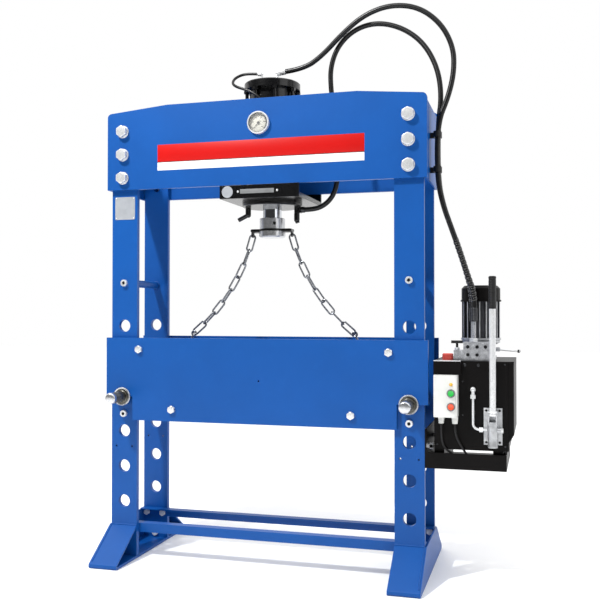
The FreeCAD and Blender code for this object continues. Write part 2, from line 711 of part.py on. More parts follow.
# ---------------------------------------------------------------- frame pieces
def upright(side, face):
    """One flat upright, on the side and the face given as -1 or 1, with its holes."""
    front = min(face * UPRIGHT_FACE, face * UPRIGHT_BACK)
    back = front + UPRIGHT_THICK
    left = min(side * UPRIGHT_OUTER, side * UPRIGHT_INNER)
    plate = box(left, left + UPRIGHT_WIDTH, front, back, FOOT_BASE, UPRIGHT_TOP)
    holes = []
    for k in range(PIN_HOLE_COUNT):
        holes.append((side * UPRIGHT_X, PIN_HOLE_LOW + k * PIN_HOLE_PITCH, PIN_HOLE_D / 2))
    for way in (-1, 1):
        holes.append((side * UPRIGHT_X + way * LUG_HOLE_SPREAD, LUG_HOLE_Z, LUG_HOLE_D / 2))
    for z in SPACER_HEIGHTS:
        holes.append((side * UPRIGHT_X, z, TIE_BOLT_D / 2 + BOLT_PLAY))
    for z in head_bolt_heights():
        holes.append((side * UPRIGHT_X, z, HEAD_BOLT_D / 2 + BOLT_PLAY))
    for x, z, radius in holes:
        plate = plate.cut(rod(radius, (x, front - 1, z), (x, back + 1, z)))
    tapped = face * (UPRIGHT_BACK + STRETCHER_BOLT_GRIP)
    for x, z in stretcher_bolt_places(side):
        plate = plate.cut(rod(STRETCHER_BOLT_D / 2 + RUNNING_FIT, (x, face * UPRIGHT_BACK, z),
                              (x, tapped, z)))
    return plate


def head_bolt_heights():
    """Heights of the bolts that hold a head plate to its uprights."""
    return [HEAD_BOLT_LOW + k * HEAD_BOLT_PITCH for k in range(HEAD_BOLT_ROWS)]


def stretcher_bolt_places(side):
    """The bolts that hold the stretchers and the feet to one pair of uprights."""
    places = [(side * UPRIGHT_X + way * STRETCHER_BOLT_SPREAD, STRETCHER_BOLT_Z)
              for way in (-1, 1)]
    places.append((side * UPRIGHT_X, FOOT_BOLT_Z))
    return places


def foot(side):
    """A welded foot: a sole, a sloped toe at each end and a closed outer side."""
    inner = side * UPRIGHT_INNER
    outer = side * UPRIGHT_OUTER
    skin = side * (UPRIGHT_OUTER + FOOT_SHEET)
    low, high = min(inner, skin), max(inner, skin)
    sole = box(low, high, -FOOT_REACH, FOOT_REACH, 0, FOOT_BASE)
    outline = [(-FOOT_REACH, FOOT_BASE), (-FOOT_REACH, FOOT_TOE), (-UPRIGHT_FACE, FOOT_TOP),
               (UPRIGHT_FACE, FOOT_TOP), (FOOT_REACH, FOOT_TOE), (FOOT_REACH, FOOT_BASE)]
    shape = sole.fuse(plate_yz(outline, min(outer, skin), max(outer, skin)))
    rise = FOOT_TOP - FOOT_TOE
    run = FOOT_REACH - UPRIGHT_FACE
    drop = FOOT_SHEET * math.hypot(rise, run) / run
    for face in (-1, 1):
        slope = [(face * UPRIGHT_FACE, FOOT_TOP), (face * FOOT_REACH, FOOT_TOE),
                 (face * FOOT_REACH, FOOT_BASE),
                 (face * (FOOT_REACH - (drop - FOOT_TOE + FOOT_BASE) * run / rise), FOOT_BASE),
                 (face * UPRIGHT_FACE, FOOT_TOP - drop)]
        shape = shape.fuse(plate_yz(slope, min(inner, outer), max(inner, outer)))
    shape = shape.removeSplitter()
    toes = edges_where(shape, lambda c, d: abs(d.x) > 0.9 and abs(c.y) > FOOT_REACH - 1
                       and (c.z < 1 or c.z > FOOT_TOE - 1))
    return shape.makeFillet(FOOT_ROUND, toes)


def stretcher(face):
    """An angle bar between the two pairs of uprights, bolted to their inner faces."""
    wall = face * UPRIGHT_BACK
    inner = wall - face * STRETCHER_THICK
    lip = wall - face * STRETCHER_LEG
    upright_leg = box(-UPRIGHT_OUTER, UPRIGHT_OUTER, min(wall, inner), max(wall, inner),
                      STRETCHER_TOP - STRETCHER_LEG, STRETCHER_TOP)
    level_leg = box(-UPRIGHT_OUTER, UPRIGHT_OUTER, min(wall, lip), max(wall, lip),
                    STRETCHER_TOP - STRETCHER_THICK, STRETCHER_TOP)
    shape = upright_leg.fuse(level_leg)
    for side in (-1, 1):
        for x, z in stretcher_bolt_places(side)[:2]:
            shape = shape.cut(rod(STRETCHER_BOLT_D / 2 + BOLT_PLAY, (x, wall, z), (x, inner, z)))
    return shape.removeSplitter()


def frame_spacers():
    """The tubes that keep the front and rear uprights apart."""
    pieces = []
    for side in (-1, 1):
        for z in SPACER_HEIGHTS:
            x = side * UPRIGHT_X
            pieces.append(tube(SPACER_D / 2, SPACER_BORE_D / 2,
                               (x, -UPRIGHT_BACK, z), (x, UPRIGHT_BACK, z)))
    return pieces


def socket_bolt(x, z):
    """A long socket-head bolt from front to back with its nut."""
    head = TIE_BOLT_HEAD
    front = -UPRIGHT_FACE
    back = UPRIGHT_FACE + head + TIE_BOLT_TAIL
    shape = rod(TIE_BOLT_D * 0.75, (x, front - head, z), (x, front, z))
    shape = shape.cut(hexagon(TIE_BOLT_D * 0.7, (x, front - head, z), (x, front - head / 2, z)))
    shape = shape.fuse(rod(TIE_BOLT_D / 2, (x, front, z), (x, back, z)))
    tail = nut(TIE_BOLT_D, BED_BOLT_AF, head, (x, UPRIGHT_FACE, z), (0, 1, 0))
    return [shape.removeSplitter(), tail]


def frame_bolts():
    """Every fastener of the frame: head bolts, tie bolts, stretcher bolts and shelf studs."""
    pieces = []
    for side in (-1, 1):
        for face in (-1, 1):
            inward = (0, -face, 0)
            for z in head_bolt_heights():
                x = side * UPRIGHT_X
                seat = HEAD_FACE + HEAD_WASHER
                length = HEAD_WASHER + HEAD_THICK + UPRIGHT_THICK
                stem = bolt(HEAD_BOLT_D, HEAD_BOLT_AF, HEAD_BOLT_HEAD, (x, face * seat, z),
                            inward, length)
                washer = rod(HEAD_WASHER_D / 2, (x, face * seat, z), (x, face * HEAD_FACE, z))
                pieces.append(stem.fuse(washer).removeSplitter())
            for x, z in stretcher_bolt_places(side)[:2]:
                leg = UPRIGHT_BACK - STRETCHER_THICK
                pieces.append(bolt(STRETCHER_BOLT_D, STRETCHER_BOLT_AF, STRETCHER_BOLT_HEAD,
                                   (x, face * leg, z), (0, face, 0),
                                   STRETCHER_THICK + STRETCHER_BOLT_GRIP))
            x, z = stretcher_bolt_places(side)[2]
            pieces.append(bolt(STRETCHER_BOLT_D, STRETCHER_BOLT_AF, STRETCHER_BOLT_HEAD,
                               (x, face * UPRIGHT_BACK, z), (0, face, 0),
                               STRETCHER_BOLT_GRIP))
        for z in SPACER_HEIGHTS:
            pieces += socket_bolt(side * UPRIGHT_X, z)
    for face in (-1, 1):
        y = face * (UPRIGHT_FACE + UPRIGHT_BACK) / 2
        start = UPRIGHT_OUTER + SHELF_SHEET
        end = start + STUD_LENGTH
        stem = rod(STUD_D / 2, (start, y, STUD_Z), (end - STUD_INSIDE, y, STUD_Z))
        head = hexagon(STUD_NUT_AF, (end - STUD_NUT, y, STUD_Z), (end, y, STUD_Z))
        pieces.append(stem.fuse(head).removeSplitter())
    return pieces


def head_plate(face):
    """A head plate with lowered ends; the front one is cut out for the gauge."""
    outline = [(-HEAD_HALF, HEAD_BOTTOM), (HEAD_HALF, HEAD_BOTTOM), (HEAD_HALF, HEAD_END_TOP),
               (HEAD_FLAT, HEAD_TOP), (-HEAD_FLAT, HEAD_TOP), (-HEAD_HALF, HEAD_END_TOP)]
    near = min(face * UPRIGHT_FACE, face * HEAD_FACE)
    far = near + HEAD_THICK
    plate = plate_xz(outline, near, far)
    corners = edges_where(plate, lambda c, d: abs(d.y) > 0.9 and abs(c.x) > HEAD_HALF - 1
                          and c.z > HEAD_END_TOP - 1)
    plate = plate.makeFillet(HEAD_CORNER, corners)
    for side in (-1, 1):
        for z in head_bolt_heights():
            x = side * UPRIGHT_X
            plate = plate.cut(rod(HEAD_BOLT_D / 2 + BOLT_PLAY, (x, near, z), (x, far, z)))
    if face < 0:
        plate = plate.cut(rod(GAUGE_CASE_R + BOLT_PLAY, (0, near, GAUGE_Z), (0, far, GAUGE_Z)))
    return plate


# ---------------------------------------------------------------- bed pieces
def bed_plate(face):
    """One side of the bed: a deep plate stepped and hollowed at its ends to sit on the pins."""
    seat = PIN_D / 2 + SEAT_GAP
    outline = [(-BED_NOTCH, BED_BOTTOM), (BED_NOTCH, BED_BOTTOM), (BED_NOTCH, PIN_Z),
               (BED_HALF, PIN_Z), (BED_HALF, BED_TOP), (-BED_HALF, BED_TOP),
               (-BED_HALF, PIN_Z), (-BED_NOTCH, PIN_Z)]
    near = min(face * UPRIGHT_FACE, face * BED_FACE)
    far = near + BED_THICK
    plate = plate_xz(outline, near, far)
    holes = [(0, BED_HOLE_Z, BED_HOLE_D / 2)]
    for side in (-1, 1):
        holes.append((side * UPRIGHT_X, PIN_Z, seat))
        for x, z in BED_TIES:
            holes.append((side * x, z, TIE_BOLT_D / 2 + BOLT_PLAY))
    for x, z, radius in holes:
        plate = plate.cut(rod(radius, (x, near, z), (x, far, z)))
    return plate


def bed_cross_bars():
    """The spacer tubes between the bed plates and the two bars that the chains hook under."""
    pieces = []
    for side in (-1, 1):
        for x, z in BED_TIES:
            pieces.append(tube(BED_TUBE_D / 2, SPACER_BORE_D / 2, (side * x, -UPRIGHT_FACE, z),
                               (side * x, UPRIGHT_FACE, z)))
        bar = chain_bar_centre(side)
        pieces.append(rod(CHAIN_BAR_D / 2, (bar.x, -UPRIGHT_FACE, bar.z),
                          (bar.x, UPRIGHT_FACE, bar.z)))
    return pieces


def bed_bolts():
    """The through bolts of the bed and their nuts."""
    pieces = []
    for side in (-1, 1):
        for x, z in BED_TIES:
            pieces.append(bolt(TIE_BOLT_D, BED_BOLT_AF, BED_BOLT_HEAD, (side * x, -BED_FACE, z),
                               (0, 1, 0), 2 * BED_FACE + BED_BOLT_HEAD + BED_BOLT_TAIL))
            pieces.append(nut(TIE_BOLT_D, BED_BOLT_AF, BED_BOLT_HEAD,
                              (side * x, BED_FACE, z), (0, 1, 0)))
    return pieces


def support_pin(side):
    """A through pin with a collar in front of the bed and a stub to pull it by."""
    x = side * UPRIGHT_X
    collar = -BED_FACE - SEAT_GAP
    grip = collar - PIN_COLLAR - PIN_GRIP
    pin = rod(PIN_D / 2, (x, collar, PIN_Z), (x, BED_FACE + PIN_TAIL, PIN_Z))
    pin = pin.makeChamfer(PIN_CHAMFER, [e for e in pin.Edges
                                        if abs(e.CenterOfMass.y - BED_FACE - PIN_TAIL) < 0.1])
    ring = rod(PIN_COLLAR_D / 2, (x, collar - PIN_COLLAR, PIN_Z), (x, collar, PIN_Z))
    stub = rod(PIN_GRIP_D / 2, (x, grip, PIN_Z), (x, collar - PIN_COLLAR, PIN_Z))
    stub = stub.makeChamfer(PIN_CHAMFER, [e for e in stub.Edges
                                          if abs(e.CenterOfMass.y - grip) < 0.1])
    return pin.fuse(ring).fuse(stub).removeSplitter()


# ---------------------------------------------------------------- cylinder pieces
def tie_rod_places():
    """Where the cylinder's tie rods stand, clear of the front and the sides."""
    places = []
    for k in range(TIE_ROD_COUNT):
        angle = 2 * math.pi * (k + 0.5) / TIE_ROD_COUNT
        places.append((TIE_ROD_CIRCLE * math.cos(angle), TIE_ROD_CIRCLE * math.sin(angle)))
    return places


def carriage_plate():
    """The plate across the carriage that the cylinder stands on."""
    reach = HEAD_FACE - CARRIAGE_BAR
    plate = box(-CARRIAGE_HALF, CARRIAGE_HALF, -reach, reach, CARRIAGE_BOTTOM, CARRIAGE_TOP)
    plate = plate.cut(rod(CYL_BORE_R + BOLT_PLAY, (0, 0, CARRIAGE_BOTTOM), (0, 0, CARRIAGE_TOP)))
    for x, y in tie_rod_places():
        plate = plate.cut(rod(TIE_ROD_R + BOLT_PLAY, (x, y, CARRIAGE_BOTTOM), (x, y, CARRIAGE_TOP)))
    return plate


def carriage_bars():
    """The front and rear bars of the carriage, which bear up against the head plates."""
    pieces = []
    for face in (-1, 1):
        near = min(face * HEAD_FACE, face * (HEAD_FACE - CARRIAGE_BAR))
        bar = box(-CARRIAGE_HALF, CARRIAGE_HALF, near, near + CARRIAGE_BAR,
                  CARRIAGE_BOTTOM, HEAD_BOTTOM)
        pieces.append(bar)
    return pieces


def cylinder_barrel():
    """The cylinder tube."""
    return turned([(CYL_BORE_R, CARRIAGE_TOP), (CYL_OUTER_R, CARRIAGE_TOP),
                   (CYL_OUTER_R, CYL_TOP), (CYL_BORE_R, CYL_TOP)], 0, 0)


def cylinder_cap():
    """The upper cylinder head, with a spigot in the bore and tapped for the tie rods."""
    spigot = CYL_BORE_R - RUNNING_FIT
    tapped = CYL_TOP + TIE_ROD_TAP
    cap = turned([(0, CYL_TOP - CAP_SPIGOT), (spigot, CYL_TOP - CAP_SPIGOT), (spigot, CYL_TOP),
                  (CAP_R, CYL_TOP), (CAP_R, CAP_TOP - CAP_CHAMFER), (CAP_R - CAP_CHAMFER, CAP_TOP),
                  (0, CAP_TOP)], 0, 0)
    for x, y in tie_rod_places():
        cap = cap.cut(rod(TIE_ROD_R + RUNNING_FIT, (x, y, CYL_TOP), (x, y, tapped)))
    return cap


def cylinder_gland():
    """The lower cylinder head: a flange with two bent hooks below and a bored spigot above."""
    spigot = CYL_BORE_R - RUNNING_FIT
    bore = RAM_R + RUNNING_FIT
    seat = GLAND_Z + TIE_ROD_SEAT
    top = CARRIAGE_BOTTOM + GLAND_SPIGOT
    gland = turned([(bore, GLAND_Z), (GLAND_R - CAP_CHAMFER, GLAND_Z),
                    (GLAND_R, GLAND_Z + CAP_CHAMFER), (GLAND_R, CARRIAGE_BOTTOM),
                    (spigot, CARRIAGE_BOTTOM), (spigot, top), (bore, top)], 0, 0)
    for x, y in tie_rod_places():
        gland = gland.cut(rod(TIE_ROD_R + RUNNING_FIT, (x, y, seat), (x, y, CARRIAGE_BOTTOM)))
    half = PORT_BLOCK / 2
    gland = gland.fuse(box(GLAND_R - PORT_BLOCK, GLAND_R, -half, half, PORT_Z - half, GLAND_Z))
    for side, root, hook in ((-1, GLAND_Z, HOOK_LEFT), (1, PORT_Z - half, HOOK_RIGHT)):
        reach, drop = hook
        x = side * (GLAND_R - HOOK_INSET)
        knee_z = root - HOOK_DROP
        gland = gland.fuse(rod(HOOK_ROD_R, (x, 0, root), (x, 0, knee_z)))
        gland = gland.fuse(Part.makeSphere(HOOK_ROD_R, V(x, 0, knee_z)))
        gland = gland.fuse(rod(HOOK_TOE_R, (x, 0, knee_z), (x + side * reach, 0, knee_z - drop)))
    return gland.removeSplitter()


def cylinder_tie_rods():
    """The rods that clamp the barrel between its two heads, with the nuts under the cap."""
    pieces = []
    for x, y in tie_rod_places():
        stem = rod(TIE_ROD_R, (x, y, GLAND_Z + TIE_ROD_SEAT), (x, y, CYL_TOP + TIE_ROD_TAP))
        collar = hexagon(TIE_NUT_AF, (x, y, CYL_TOP - TIE_NUT), (x, y, CYL_TOP))
        trim = rod(CYL_OUTER_R + BOLT_PLAY, (0, 0, CYL_TOP - TIE_NUT), (0, 0, CYL_TOP))
        pieces.append(stem.fuse(collar.cut(trim)).removeSplitter())
    return pieces


def piston():
    """The piston on the upper end of the ram."""
    radius = CYL_BORE_R - RUNNING_FIT
    neck = ROD_NECK_R + RUNNING_FIT
    bottom = PISTON_TOP - PISTON_LENGTH
    return turned([(neck, bottom), (radius, bottom), (radius, PISTON_TOP), (neck, PISTON_TOP)], 0, 0)


def ram_rod():
    """The polished ram, necked for the piston above and bored for the nose below."""
    bore = NOSE_SPIGOT_R + RUNNING_FIT
    bottom = PISTON_TOP - PISTON_LENGTH
    return turned([(bore, NOSE_TOP), (RAM_R, NOSE_TOP), (RAM_R, bottom), (ROD_NECK_R, bottom),
                   (ROD_NECK_R, PISTON_TOP), (0, PISTON_TOP), (0, NOSE_TOP + NOSE_SOCKET),
                   (bore, NOSE_TOP + NOSE_SOCKET)], 0, 0)


def ram_nose():
    """The pressing nose under the ram."""
    return turned([(0, NOSE_BOTTOM), (NOSE_R - NOSE_CHAMFER, NOSE_BOTTOM),
                   (NOSE_R, NOSE_BOTTOM + NOSE_CHAMFER),
                   (NOSE_R, NOSE_TOP), (NOSE_SPIGOT_R, NOSE_TOP),
                   (NOSE_SPIGOT_R, NOSE_TOP + NOSE_SPIGOT), (0, NOSE_TOP + NOSE_SPIGOT)], 0, 0)


def chain_plate():
    """The flat bar round the ram with an eye plate under each end for a chain."""
    half = CHAIN_PLATE_DEPTH / 2
    top = NOSE_TOP + CHAIN_PLATE
    plate = box(-CHAIN_PLATE_HALF, CHAIN_PLATE_HALF, -half, half, NOSE_TOP, top)
    plate = plate.fuse(rod(NOSE_R, (0, 0, NOSE_TOP), (0, 0, top)))
    for side in (-1, 1):
        outer = side * CHAIN_PLATE_HALF
        inner = side * (CHAIN_PLATE_HALF - HANGER_LUG)
        eye_z = NOSE_TOP - HANGER_DROP + HANGER_RIM + HANGER_EYE_R
        lug = box(min(outer, inner), max(outer, inner), -HANGER_WIDTH / 2, HANGER_WIDTH / 2,
                  NOSE_TOP - HANGER_DROP, NOSE_TOP)
        lug = lug.makeFillet(HANGER_EYE_R, edges_where(
            lug, lambda c, d: abs(d.x) > 0.9 and c.z < NOSE_TOP - HANGER_DROP + 1))
        plate = plate.fuse(lug.cut(rod(HANGER_EYE_R, (inner, 0, eye_z), (outer, 0, eye_z))))
    plate = plate.cut(rod(RAM_R + RUNNING_FIT, (0, 0, NOSE_TOP), (0, 0, top)))
    return plate.removeSplitter()


def ram_collar():
    """The clamp collar above the chain plate, with its set-screw hole."""
    bottom = NOSE_TOP + CHAIN_PLATE
    bore = RAM_R + RUNNING_FIT
    top = bottom + COLLAR
    ring = turned([(bore, bottom), (COLLAR_R, bottom), (COLLAR_R, top - COLLAR_CHAMFER),
                   (COLLAR_R - COLLAR_CHAMFER, top), (bore, top)], 0, 0)
    z = bottom + COLLAR / 2
    screw = rod(COLLAR_SCREW_R, (0, -COLLAR_R - 1, z), (0, -RAM_R - 4, z))
    screw.rotate(V(0, 0, 0), Z_AXIS, COLLAR_SCREW_TURN)
    return ring.cut(screw)


# ---------------------------------------------------------------- gauge
def turned_y(profile, x, z):
    """A piece turned on the line along Y through x, z, from its radius and depth pairs."""
    corners = [V(x, y, z + r) for r, y in profile]
    face = Part.Face(Part.makePolygon(corners + corners[:1]))
    return face.revolve(V(x, 0, z), Y_AXIS, 360)


def gauge_case():
    """The gauge's case: a bezel over the hole, a cup behind the dial and a stem at the back."""
    face = -HEAD_FACE
    front = face - GAUGE_FRONT
    dial = face + GAUGE_DIAL
    back = face + GAUGE_DEPTH
    stem_end = back + GAUGE_STEM
    pin_end = dial + NEEDLE_BEARING
    pin = NEEDLE_PIN_R + RUNNING_FIT
    profile = [(pin, dial), (GAUGE_CASE_R, dial), (GAUGE_CASE_R, front),
               (GAUGE_BEZEL_R - GAUGE_BEZEL_CHAMFER, front),
               (GAUGE_BEZEL_R, front + GAUGE_BEZEL_CHAMFER), (GAUGE_BEZEL_R, face),
               (GAUGE_CASE_R, face), (GAUGE_CASE_R, back), (GAUGE_STEM_R, back),
               (GAUGE_STEM_R, stem_end), (0, stem_end), (0, pin_end), (pin, pin_end)]
    return turned_y(profile, 0, GAUGE_Z)


def gauge_glass():
    """The clear disc in the bezel."""
    front = -HEAD_FACE - GAUGE_FRONT + GAUGE_WALL
    return rod(GAUGE_CASE_R - RUNNING_FIT, (0, front, GAUGE_Z),
               (0, front + GAUGE_GLASS, GAUGE_Z))


def gauge_needle():
    """The pointer on its pin."""
    near = -HEAD_FACE - NEEDLE_PROUD
    angle = math.radians(NEEDLE_REST)
    along = V(math.cos(angle), 0, math.sin(angle))
    across = V(-along.z, 0, along.x)
    centre = V(0, near, GAUGE_Z)
    half = NEEDLE_WIDTH / 2
    corners = [centre + along * NEEDLE_LENGTH, centre + across * half,
               centre - along * NEEDLE_TAIL, centre - across * half]
    blade = Part.Face(Part.makePolygon(corners + corners[:1])).extrude(V(0, NEEDLE_THICK, 0))
    hub = rod(NEEDLE_WIDTH, (0, near - 1, GAUGE_Z), (0, near + NEEDLE_THICK, GAUGE_Z))
    pin_end = -HEAD_FACE + GAUGE_DIAL + NEEDLE_BEARING - 1
    pin = rod(NEEDLE_PIN_R, (0, near, GAUGE_Z), (0, pin_end, GAUGE_Z))
    return blade.fuse(hub).fuse(pin).removeSplitter()


# ---------------------------------------------------------------- hoses and their fittings
def union(route, diameter, length):
    """A union from a port in the cap up to the start of a hose that leaves at an angle."""
    end = V(*route[0])
    run = (end - V(*route[1])).normalize()
    knee = end + run * length
    riser = rod(diameter * UNION_NECK, (knee.x, knee.y, CAP_TOP), tuple(knee))
    body = rod(diameter / 2, tuple(end), tuple(knee))
    ball = Part.makeSphere(diameter / 2, knee)
    return riser.fuse(body).fuse(ball).removeSplitter()


def hose_fittings():
    """The sleeves on the hose ends and the unions on the cylinder's ports."""
    return [
        sleeve_at(SUPPLY_ROUTE, FERRULE_D, FERRULE),
        sleeve_at(RETURN_ROUTE, FERRULE_D, FERRULE),
        sleeve_at(GAUGE_ROUTE, GAUGE_FERRULE_D, GAUGE_FERRULE),
        union(SUPPLY_ROUTE, FERRULE_D, UNION_REACH),
        union(GAUGE_ROUTE, GAUGE_FERRULE_D, GAUGE_UNION_REACH),
        rod(FERRULE_D / 2, (GLAND_R, 0, PORT_Z), RETURN_ROUTE[0])]


def hose_clips():
    """The bands that hold the two big hoses beside the head, on straps from the upright."""
    pieces = []
    for z in CLIP_HEIGHTS:
        outer = HOSE_D / 2 + CLIP_PLAY + CLIP_BAND
        inner = HOSE_D / 2 + CLIP_PLAY
        band = None
        for y in (SUPPLY_Y, RETURN_Y):
            ring = rod(outer, (CLIP_X, y, z), (CLIP_X, y, z + CLIP_WIDTH))
            band = ring if band is None else band.fuse(ring)
        strap = box(UPRIGHT_OUTER, UPRIGHT_OUTER + CLIP_BAND, -UPRIGHT_FACE, RETURN_Y,
                    z, z + CLIP_WIDTH)
        arm = box(UPRIGHT_OUTER, CLIP_X, RETURN_Y - CLIP_BAND, RETURN_Y, z, z + CLIP_WIDTH)
        band = band.fuse(strap).fuse(arm)
        for y in (SUPPLY_Y, RETURN_Y):
            band = band.cut(rod(inner, (CLIP_X, y, z), (CLIP_X, y, z + CLIP_WIDTH)))
        pieces.append(band.removeSplitter())
    return pieces


# ---------------------------------------------------------------- power pack
def shelf():
    """The open frame that carries the tank beside the right uprights."""
    left = SHELF_LEFT
    ledge_top = SHELF_BOTTOM + SHELF_SHEET
    lip_top = SHELF_BOTTOM + SHELF_LIP
    shape = box(left, SHELF_RIGHT, SHELF_FRONT, SHELF_FRONT + SHELF_SHEET, SHELF_BOTTOM, lip_top)
    shape = shape.fuse(box(left, SHELF_RIGHT, SHELF_FRONT, SHELF_FRONT + SHELF_LEDGE,
                           SHELF_BOTTOM, ledge_top))
    shape = shape.fuse(box(left, SHELF_RIGHT, SHELF_BACK - SHELF_LEDGE, SHELF_BACK,
                           SHELF_BOTTOM, ledge_top))
    shape = shape.fuse(box(SHELF_RIGHT - SHELF_SHEET, SHELF_RIGHT, SHELF_FRONT, SHELF_BACK,
                           SHELF_BOTTOM, lip_top))
    arm = [(SHELF_FRONT, SHELF_BOTTOM), (SHELF_BACK, SHELF_BOTTOM), (SHELF_BACK, lip_top),
           (UPRIGHT_FACE, SHELF_ARM_TOP), (SHELF_FRONT, SHELF_ARM_TOP)]
    shape = shape.fuse(plate_yz(arm, left, left + SHELF_SHEET))
    for route in (STARTER_CABLE_ROUTE, MOTOR_CABLE_ROUTE):
        x, y, z = route[-1]
        shape = shape.fuse(rod(CABLE_D, (x, y, ledge_top), (x, y, z)))
    return shape.removeSplitter()


def tank():
    """The oil tank: a folded box narrowed at the foot, standing on two rails."""
    right = TANK_RIGHT - TANK_CHAMFER_X
    outline = [(TANK_LEFT, TANK_BOTTOM), (right, TANK_BOTTOM), (right, TANK_WAIST),
               (TANK_RIGHT, TANK_WAIST + TANK_CHAMFER_Z), (TANK_RIGHT, TANK_TOP),
               (TANK_LEFT, TANK_TOP)]
    body = plate_xz(outline, TANK_FRONT, TANK_BACK)
    body = body.makeFillet(TANK_EDGE, edges_where(
        body, lambda c, d: abs(d.z) > 0.9 and c.x > TANK_RIGHT - 1))
    ledge_top = SHELF_BOTTOM + SHELF_SHEET
    for x in (TANK_LEFT, right - RAIL_INSET - RAIL_WIDTH):
        body = body.fuse(box(x, x + RAIL_WIDTH, TANK_FRONT, TANK_BACK, ledge_top, TANK_BOTTOM))
    return body.removeSplitter()


def tank_cover():
    """The black front plate and the folded bracket that the starter hangs under."""
    plate = box(TANK_LEFT, COVER_RIGHT, COVER_FACE, TANK_FRONT, TANK_BOTTOM, LID_TOP)
    bracket = box(TANK_LEFT, BRACKET_RIGHT, COVER_FACE - BRACKET_DEPTH, COVER_FACE,
                  STARTER_TOP, BRACKET_TOP)
    return plate.fuse(bracket).removeSplitter()


def tank_lid():
    """The tank's lid, with a neck for the filler cap."""
    lid = box(TANK_LEFT - LID_LIP, TANK_RIGHT, TANK_FRONT, TANK_BACK + LID_LIP, TANK_TOP, LID_TOP)
    neck = rod(FILLER_NECK_R, (CAP_X, CAP_Y, LID_TOP), (CAP_X, CAP_Y, LID_TOP + FILLER_NECK))
    return lid.fuse(neck)


def motor_body():
    """The finned motor, hollow for its rotor, with an end shield at each end."""
    body = rod(MOTOR_CORE_R, (MOTOR_X, MOTOR_Y, MOTOR_BOTTOM), (MOTOR_X, MOTOR_Y, MOTOR_TOP))
    fin = box(MOTOR_X + MOTOR_CORE_R - MOTOR_FIN_ROOT, MOTOR_X + MOTOR_FIN_R, MOTOR_Y - MOTOR_FIN / 2,
              MOTOR_Y + MOTOR_FIN / 2, MOTOR_BOTTOM, MOTOR_TOP)
    fins = []
    for k in range(MOTOR_FINS):
        turned_fin = fin.copy()
        turned_fin.rotate(V(MOTOR_X, MOTOR_Y, 0), Z_AXIS, 360 * (k + 0.5) / MOTOR_FINS)
        fins.append(turned_fin)
    body = body.fuse(fins)
    cavity = rod(ROTOR_R + 1, (MOTOR_X, MOTOR_Y, MOTOR_BOTTOM + MOTOR_END),
                 (MOTOR_X, MOTOR_Y, MOTOR_TOP - MOTOR_END))
    bearing = rod(SHAFT_R + RUNNING_FIT, (MOTOR_X, MOTOR_Y, MOTOR_BOTTOM),
                  (MOTOR_X, MOTOR_Y, MOTOR_TOP))
    return body.cut(cavity).cut(bearing).removeSplitter()


def motor_fan_cover():
    """The fan cowl: a thin cup over the fan, slotted on top, with a rolled ring at its foot."""
    wall = FAN_COVER_WALL
    bottom = MOTOR_TOP
    top = FAN_COVER_TOP
    seat = MOTOR_FIN_R - FAN_COVER_SEAT
    shoulder = FAN_COVER_R - FAN_COVER_CHAMFER
    cowl = turned([(seat, bottom), (FAN_RING_R, bottom), (FAN_RING_R, bottom + FAN_RING),
                   (FAN_COVER_R, bottom + FAN_RING), (FAN_COVER_R, top - FAN_COVER_CHAMFER),
                   (shoulder, top), (0, top), (0, top - wall), (shoulder - wall / 2, top - wall),
                   (FAN_COVER_R - wall, top - FAN_COVER_CHAMFER - wall / 2),
                   (FAN_COVER_R - wall, bottom + wall), (seat, bottom + wall)], MOTOR_X, MOTOR_Y)
    slot = box(MOTOR_X + FAN_HUB_R, MOTOR_X + shoulder - FAN_COVER_SEAT,
               MOTOR_Y - FAN_SLOT / 2, MOTOR_Y + FAN_SLOT / 2, top - wall, top)
    for k in range(FAN_SLOTS):
        turned_slot = slot.copy()
        turned_slot.rotate(V(MOTOR_X, MOTOR_Y, 0), Z_AXIS, 360 * k / FAN_SLOTS)
        cowl = cowl.cut(turned_slot)
    return cowl


def motor_rotor():
    """The rotor, its shaft and the fan on the upper end."""
    bottom = MOTOR_BOTTOM - SHAFT_TAIL
    top = FAN_BOTTOM + FAN_HEIGHT
    end = MOTOR_END + ROTOR_PLAY
    shape = rod(SHAFT_R, (MOTOR_X, MOTOR_Y, bottom), (MOTOR_X, MOTOR_Y, top))
    shape = shape.fuse(rod(ROTOR_R, (MOTOR_X, MOTOR_Y, MOTOR_BOTTOM + end),
                           (MOTOR_X, MOTOR_Y, MOTOR_TOP - end)))
    shape = shape.fuse(rod(FAN_HUB_R, (MOTOR_X, MOTOR_Y, FAN_BOTTOM), (MOTOR_X, MOTOR_Y, top)))
    blade = box(MOTOR_X, MOTOR_X + FAN_R, MOTOR_Y - FAN_BLADE / 2, MOTOR_Y + FAN_BLADE / 2,
                FAN_BOTTOM, top)
    for k in range(FAN_BLADES):
        turned_blade = blade.copy()
        turned_blade.rotate(V(MOTOR_X, MOTOR_Y, 0), Z_AXIS, 360 * k / FAN_BLADES)
        shape = shape.fuse(turned_blade)
    return shape.removeSplitter()


def bell_housing():
    """The cast housing between the tank lid and the motor, round the coupling."""
    bore = BELL_BORE_R
    return turned([(bore, LID_TOP), (MOTOR_CORE_R, LID_TOP), (MOTOR_CORE_R, LID_TOP + BELL_FLANGE),
                   (BELL_R, LID_TOP + BELL_FLANGE), (BELL_R, MOTOR_BOTTOM - 2 * BELL_FLANGE),
                   (MOTOR_FIN_R, MOTOR_BOTTOM - BELL_FLANGE), (MOTOR_FIN_R, MOTOR_BOTTOM),
                   (bore, MOTOR_BOTTOM)], MOTOR_X, MOTOR_Y)


